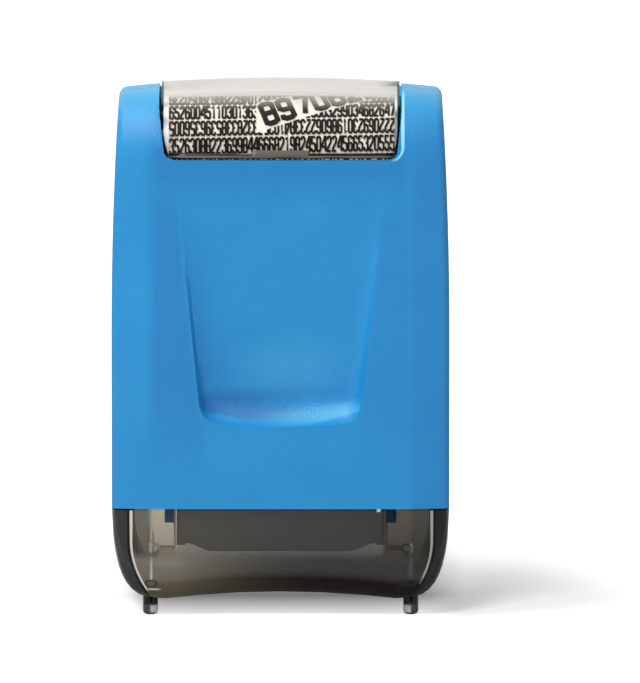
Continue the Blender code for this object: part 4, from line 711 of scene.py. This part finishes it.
def raise_type(bm):
    """Give flat type its sides: down to the root and up to the printing face."""
    faces = bm.faces[:]
    bmesh.ops.recalc_face_normals(bm, faces=faces)
    for face in faces:
        if face.normal.z < 0:
            face.normal_flip()
    bmesh.ops.translate(bm, verts=bm.verts[:], vec=(0, 0, -TYPE_ROOT))
    made = bmesh.ops.extrude_face_region(bm, geom=faces, use_keep_orig=True)
    tops = [item for item in made["geom"] if isinstance(item, bmesh.types.BMVert)]
    bmesh.ops.translate(bm, verts=tops, vec=(0, 0, TYPE_RELIEF + TYPE_ROOT))
    for face in faces:
        face.normal_flip()


def strip_sides(lane):
    """Unrolled start of a slanted strip, and its direction."""
    slope = radians(LARGE_SLOPE_DEG)
    start_deg = LARGE_START_DEG + 360 / LARGE_TURNS * lane
    return Vector((LARGE_START_X, radians(start_deg) * TYPE_RADIUS, 0)), Vector((cos(slope), sin(slope), 0))


def cut(bm, place, side, clear_outer=False):
    geom = bm.verts[:] + bm.edges[:] + bm.faces[:]
    bmesh.ops.bisect_plane(bm, geom=geom, dist=CUT_WITHIN, plane_co=place, plane_no=side,
                           clear_outer=clear_outer)


def clear_strip(bm, base):
    """Cut away what lies on the slanted strips; base is the row's height on the unrolled drum."""
    round_trip = 2 * pi * TYPE_RADIUS
    end = Vector((1, 0, 0))
    for lane in range(LARGE_TURNS):
        for lap in (-1, 0, 1):
            start, along = strip_sides(lane)
            start = start + Vector((0, lap * round_trip - base, 0))
            across = Vector((-along.y, along.x, 0))
            close = [v for v in bm.verts if abs((v.co - start).dot(across)) < STRIP_HALF + SMALL_HEIGHT
                     and v.co.x > start.x - SMALL_HEIGHT]
            if not close:
                continue
            for side, push in ((across, STRIP_HALF), (across, -STRIP_HALF), (end, -STRIP_END)):
                cut(bm, start + side * push, side)
            inside = [f for f in bm.faces
                      if abs((f.calc_center_median() - start).dot(across)) < STRIP_HALF
                      and f.calc_center_median().x > start.x - STRIP_END]
            bmesh.ops.delete(bm, geom=inside, context="FACES")


def set_digit(line, shapes, draw, place):
    """Draw a digit at random and set it into a line of type."""
    mesh = shapes[draw.choice(DRAWN_DIGITS)].copy()
    mesh.transform(place)
    line.from_mesh(mesh)
    bpy.data.meshes.remove(mesh)


def add_line(whole, line, start_deg):
    """Raise a flat line of type, lay it round the drum and add it to the rest."""
    raise_type(line)
    wrap(line, start_deg)
    mesh = bpy.data.meshes.new("line")
    line.to_mesh(mesh)
    line.free()
    whole.from_mesh(mesh)
    bpy.data.meshes.remove(mesh)


def small_type(draw):
    """Dense rows round the drum, every second one upside down, cleared where the strips lie."""
    shapes = digit_shapes(SMALL_HEIGHT, SMALL_WIDTH, SMALL_STROKE)
    count = int(2 * (SLEEVE_HALF - SMALL_SHIFT) / SMALL_PITCH)
    whole = bmesh.new()
    for row in range(ROW_COUNT):
        start_deg = FIRST_ROW_DEG + 360 / ROW_COUNT * row
        turn = Matrix.Rotation(pi * (row % 2), 4, "Z")
        line = bmesh.new()
        for place in range(count):
            x = (place - (count - 1) / 2) * SMALL_PITCH + SMALL_SHIFT
            rise = x * tan(radians(ROW_TILT_DEG))
            set_digit(line, shapes, draw, Matrix.Translation((x, rise, 0)) @ turn)
        clear_strip(line, radians(start_deg) * TYPE_RADIUS)
        add_line(whole, line, start_deg)
    return whole


def large_type(draw):
    """Slanted strips of large digits, cut off near the sleeve's ends."""
    shapes = digit_shapes(LARGE_HEIGHT, LARGE_WIDTH, LARGE_STROKE)
    slope = Matrix.Rotation(radians(LARGE_SLOPE_DEG), 4, "Z")
    whole = bmesh.new()
    for lane in range(LARGE_TURNS):
        start, along = strip_sides(lane)
        line = bmesh.new()
        for place in range(LARGE_COUNT):
            centre = start + along * (place + LARGE_START_SHARE) * LARGE_PITCH
            set_digit(line, shapes, draw, Matrix.Translation(centre) @ slope)
        for side in (-1, 1):
            cut(line, (side * (SLEEVE_HALF - SLEEVE_MARGIN), 0, 0), (side, 0, 0), clear_outer=True)
        add_line(whole, line, 0.0)
    return whole


def add_piece(name, bm, finish_name, body):
    mesh = bpy.data.meshes.new(name)
    bm.to_mesh(mesh)
    bm.free()
    mesh.materials.append(FINISHES[finish_name])
    piece = bpy.data.objects.new(name, mesh)
    scene.collection.objects.link(piece)
    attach(piece, body)


draw = random.Random(DRAW_SEED)
add_piece("small_type_rows", small_type(draw), "ink", "drum")
add_piece("large_type_strips", large_type(draw), "ink", "drum")


# Small forms inside the cap, seen through it on both sides: the right-hand ones, in mm

# A block's x, y and z, each from and to
PANEL_LEDGE = ((17.6, 20.6), (-13.7, -10.35), (11.0, 11.4))
PANEL_EDGE = ((17.5, 17.85), (-11.0, -10.7), (11.35, 17.6))
# A ring's middle and its section
GUIDE_EYE = ((21.0, -13.6, 11.3), ((-0.3, 0.5), (-0.3, 0.95), (0.5, 0.95), (0.5, 0.5)))
FOOT_BOSS = ((21.75, -11.4, 4.75), ((0.0, 0.7), (0.0, 1.3), (0.9, 1.3), (0.9, 0.7)))
RING_STEPS = 20
BEVEL_STEPS = 2
SHARP_CORNER_RAD = 1.0
LEDGE_BEVEL_MM, EDGE_BEVEL_MM = 0.1, 0.08
SIDEWAYS, TO_THE_REAR, UPRIGHT = Vector((1, 0, 0)), Vector((0, 1, 0)), Vector((0, 0, 1))


def add_block(bm, low, high):
    place = Matrix.LocRotScale((high + low) / 2, None, high - low)
    bmesh.ops.create_cube(bm, size=1.0, matrix=place)


def add_ring(bm, section, centre, axis):
    """Turn a closed section of (along, radius) pairs about an axis through the centre."""
    corners = [bm.verts.new(centre + axis * along + SIDEWAYS * radius) for along, radius in section]
    edges = [bm.edges.new(pair) for pair in zip(corners, corners[1:] + corners[:1])]
    bmesh.ops.spin(bm, geom=corners + edges, cent=centre, axis=axis, angle=2 * pi, steps=RING_STEPS,
                   use_merge=True)


def both_sides(name, finish_name, build, bevel_mm=0.0):
    """A piece made of one form on each side of the cap."""
    bm = bmesh.new()
    for sign in (-1, 1):
        build(bm, sign)
    bmesh.ops.recalc_face_normals(bm, faces=bm.faces[:])
    if bevel_mm:
        sharp = [edge for edge in bm.edges if edge.calc_face_angle(0) > SHARP_CORNER_RAD]
        bmesh.ops.bevel(bm, geom=sharp, offset=bevel_mm * MM, segments=BEVEL_STEPS, affect="EDGES")
    add_piece(name, bm, finish_name, "cap")


def side_block(xs, ys, zs):
    def build(bm, sign):
        low_x, high_x = sorted(sign * x for x in xs)
        add_block(bm, Vector((low_x, ys[0], zs[0])) * MM, Vector((high_x, ys[1], zs[1])) * MM)
    return build


def side_ring(middle, section, axis):
    x, y, z = middle

    def build(bm, sign):
        add_ring(bm, [(a * MM, r * MM) for a, r in section], Vector((sign * x, y, z)) * MM, axis)
    return build


both_sides("cap_panel_ledges", "pale", side_block(*PANEL_LEDGE), LEDGE_BEVEL_MM)
both_sides("cap_panel_edges", "pale", side_block(*PANEL_EDGE), EDGE_BEVEL_MM)
both_sides("cap_guide_eyes", "pale", side_ring(*GUIDE_EYE, TO_THE_REAR))
both_sides("cap_foot_bosses", "ink", side_ring(*FOOT_BOSS, UPRIGHT))


# Studio: pale floor, soft lamps, white behind

WHITE = (1.0, 1.0, 1.0)
FLOOR_GREY = (0.80, 0.80, 0.80)
FLOOR_SIZE = 4.0
# The floor's glow for the camera: full far out, less near the object, and under it least at the back, painted
# lighter towards the front to fade the shadow
GLOW_NEAR, GLOW_SHADOW_BACK, GLOW_SHADOW_FRONT = 0.4, 0.16, 0.85
GLOW_FROM, GLOW_FULL = 50 * MM, 120 * MM
SHADOW_END_X, SHADOW_FULL_X = 31 * MM, 24 * MM
SHADOW_BACK_Y, SHADOW_FRONT_Y = 10 * MM, -16 * MM
ROOM_LIGHT = 0.24


def floor_finish():
    material, tree, out = new_material("pale_floor")
    matt = add_node(tree, "ShaderNodeBsdfDiffuse", {"Color": rgba(FLOOR_GREY)})
    camera_ray = add_node(tree, "ShaderNodeLightPath").outputs["Is Camera Ray"]
    place = add_node(tree, "ShaderNodeTexCoord").outputs["Object"]
    parts = add_node(tree, "ShaderNodeSeparateXYZ", {0: place})
    off = add_node(tree, "ShaderNodeVectorMath", {0: place}, operation="LENGTH").outputs["Value"]
    shadow = ramp(tree, maths(tree, "ABSOLUTE", parts.outputs["X"]), SHADOW_END_X, SHADOW_FULL_X)
    shadow_glow = ramp(tree, parts.outputs["Y"], SHADOW_BACK_Y, SHADOW_FRONT_Y, GLOW_SHADOW_BACK,
                       GLOW_SHADOW_FRONT)
    near_glow = ramp(tree, shadow, 0.0, 1.0, GLOW_NEAR, shadow_glow)
    strength = ramp(tree, ramp(tree, off, GLOW_FROM, GLOW_FULL), 0.0, 1.0, near_glow, 1.0)
    glow = add_node(tree, "ShaderNodeEmission", {
        "Color": rgba(WHITE), "Strength": maths(tree, "MULTIPLY", camera_ray, strength)})
    both = add_node(tree, "ShaderNodeAddShader", {0: matt.outputs[0], 1: glow.outputs[0]})
    tree.links.new(both.outputs[0], out.inputs["Surface"])
    return material


def studio_floor():
    bm = bmesh.new()
    bmesh.ops.create_grid(bm, x_segments=2, y_segments=2, size=FLOOR_SIZE)
    mesh = bpy.data.meshes.new("studio_floor")
    bm.to_mesh(mesh)
    bm.free()
    mesh.materials.append(floor_finish())
    floor = bpy.data.objects.new("studio_floor", mesh)
    scene.collection.objects.link(floor)


def studio_walls():
    """White where the camera, a reflection or a clear piece sees them; their light is weaker."""
    world = bpy.data.worlds.new("studio")
    scene.world = world
    world.use_nodes = True
    tree = world.node_tree
    tree.nodes.clear()
    path = add_node(tree, "ShaderNodeLightPath").outputs
    seen = most(tree, path["Is Camera Ray"], path["Is Glossy Ray"], path["Is Transmission Ray"])
    strength = ramp(tree, seen, 0.0, 1.0, ROOM_LIGHT, 1.0)
    light = add_node(tree, "ShaderNodeBackground", {"Color": rgba(WHITE), "Strength": strength})
    add_node(tree, "ShaderNodeOutputWorld", {"Surface": light.outputs[0]})


# Each lamp's place, target, size and power
LAMPS = {
    "key_lamp": ((-0.22, -0.52, 0.62), (0, 0, 0.045), 0.3, 3.7),
    "top_lamp": ((-0.30, -0.12, 0.64), (0, 0, 0.06), 0.3, 2.0),
    "fill_lamp": ((0.6, -0.6, 0.3), (0, 0, 0.045), 0.5, 0.7),
}


def lamp(name, place, target, size, power):
    light = bpy.data.lights.new(name, "AREA")
    light.shape = "DISK"
    light.size = size
    light.energy = power
    thing = bpy.data.objects.new(name, light)
    scene.collection.objects.link(thing)
    thing.location = place
    thing.rotation_euler = (Vector(target) - Vector(place)).to_track_quat("-Z", "Y").to_euler()


CAMERA_ELEVATION_DEG = 7.5
CAMERA_DISTANCE = 2.6
CAMERA_AIM = Vector((6.58 * MM, -10 * MM, 45.69 * MM))
VIEW_HEIGHT = 113.9 * MM
SENSOR_MM = 36.0


def camera():
    lens = bpy.data.cameras.new("photo_camera")
    lens.sensor_fit = "AUTO"
    lens.sensor_width = SENSOR_MM
    lens.lens = SENSOR_MM * CAMERA_DISTANCE / VIEW_HEIGHT
    lens.clip_start = 0.01
    lens.clip_end = 20.0
    thing = bpy.data.objects.new("photo_camera", lens)
    scene.collection.objects.link(thing)
    rise = radians(CAMERA_ELEVATION_DEG)
    back = Vector((0, -cos(rise), sin(rise)))
    thing.location = CAMERA_AIM + back * CAMERA_DISTANCE
    thing.rotation_euler = (-back).to_track_quat("-Z", "Y").to_euler()
    scene.camera = thing


studio_floor()
studio_walls()
for name, settings in LAMPS.items():
    lamp(name, *settings)
camera()
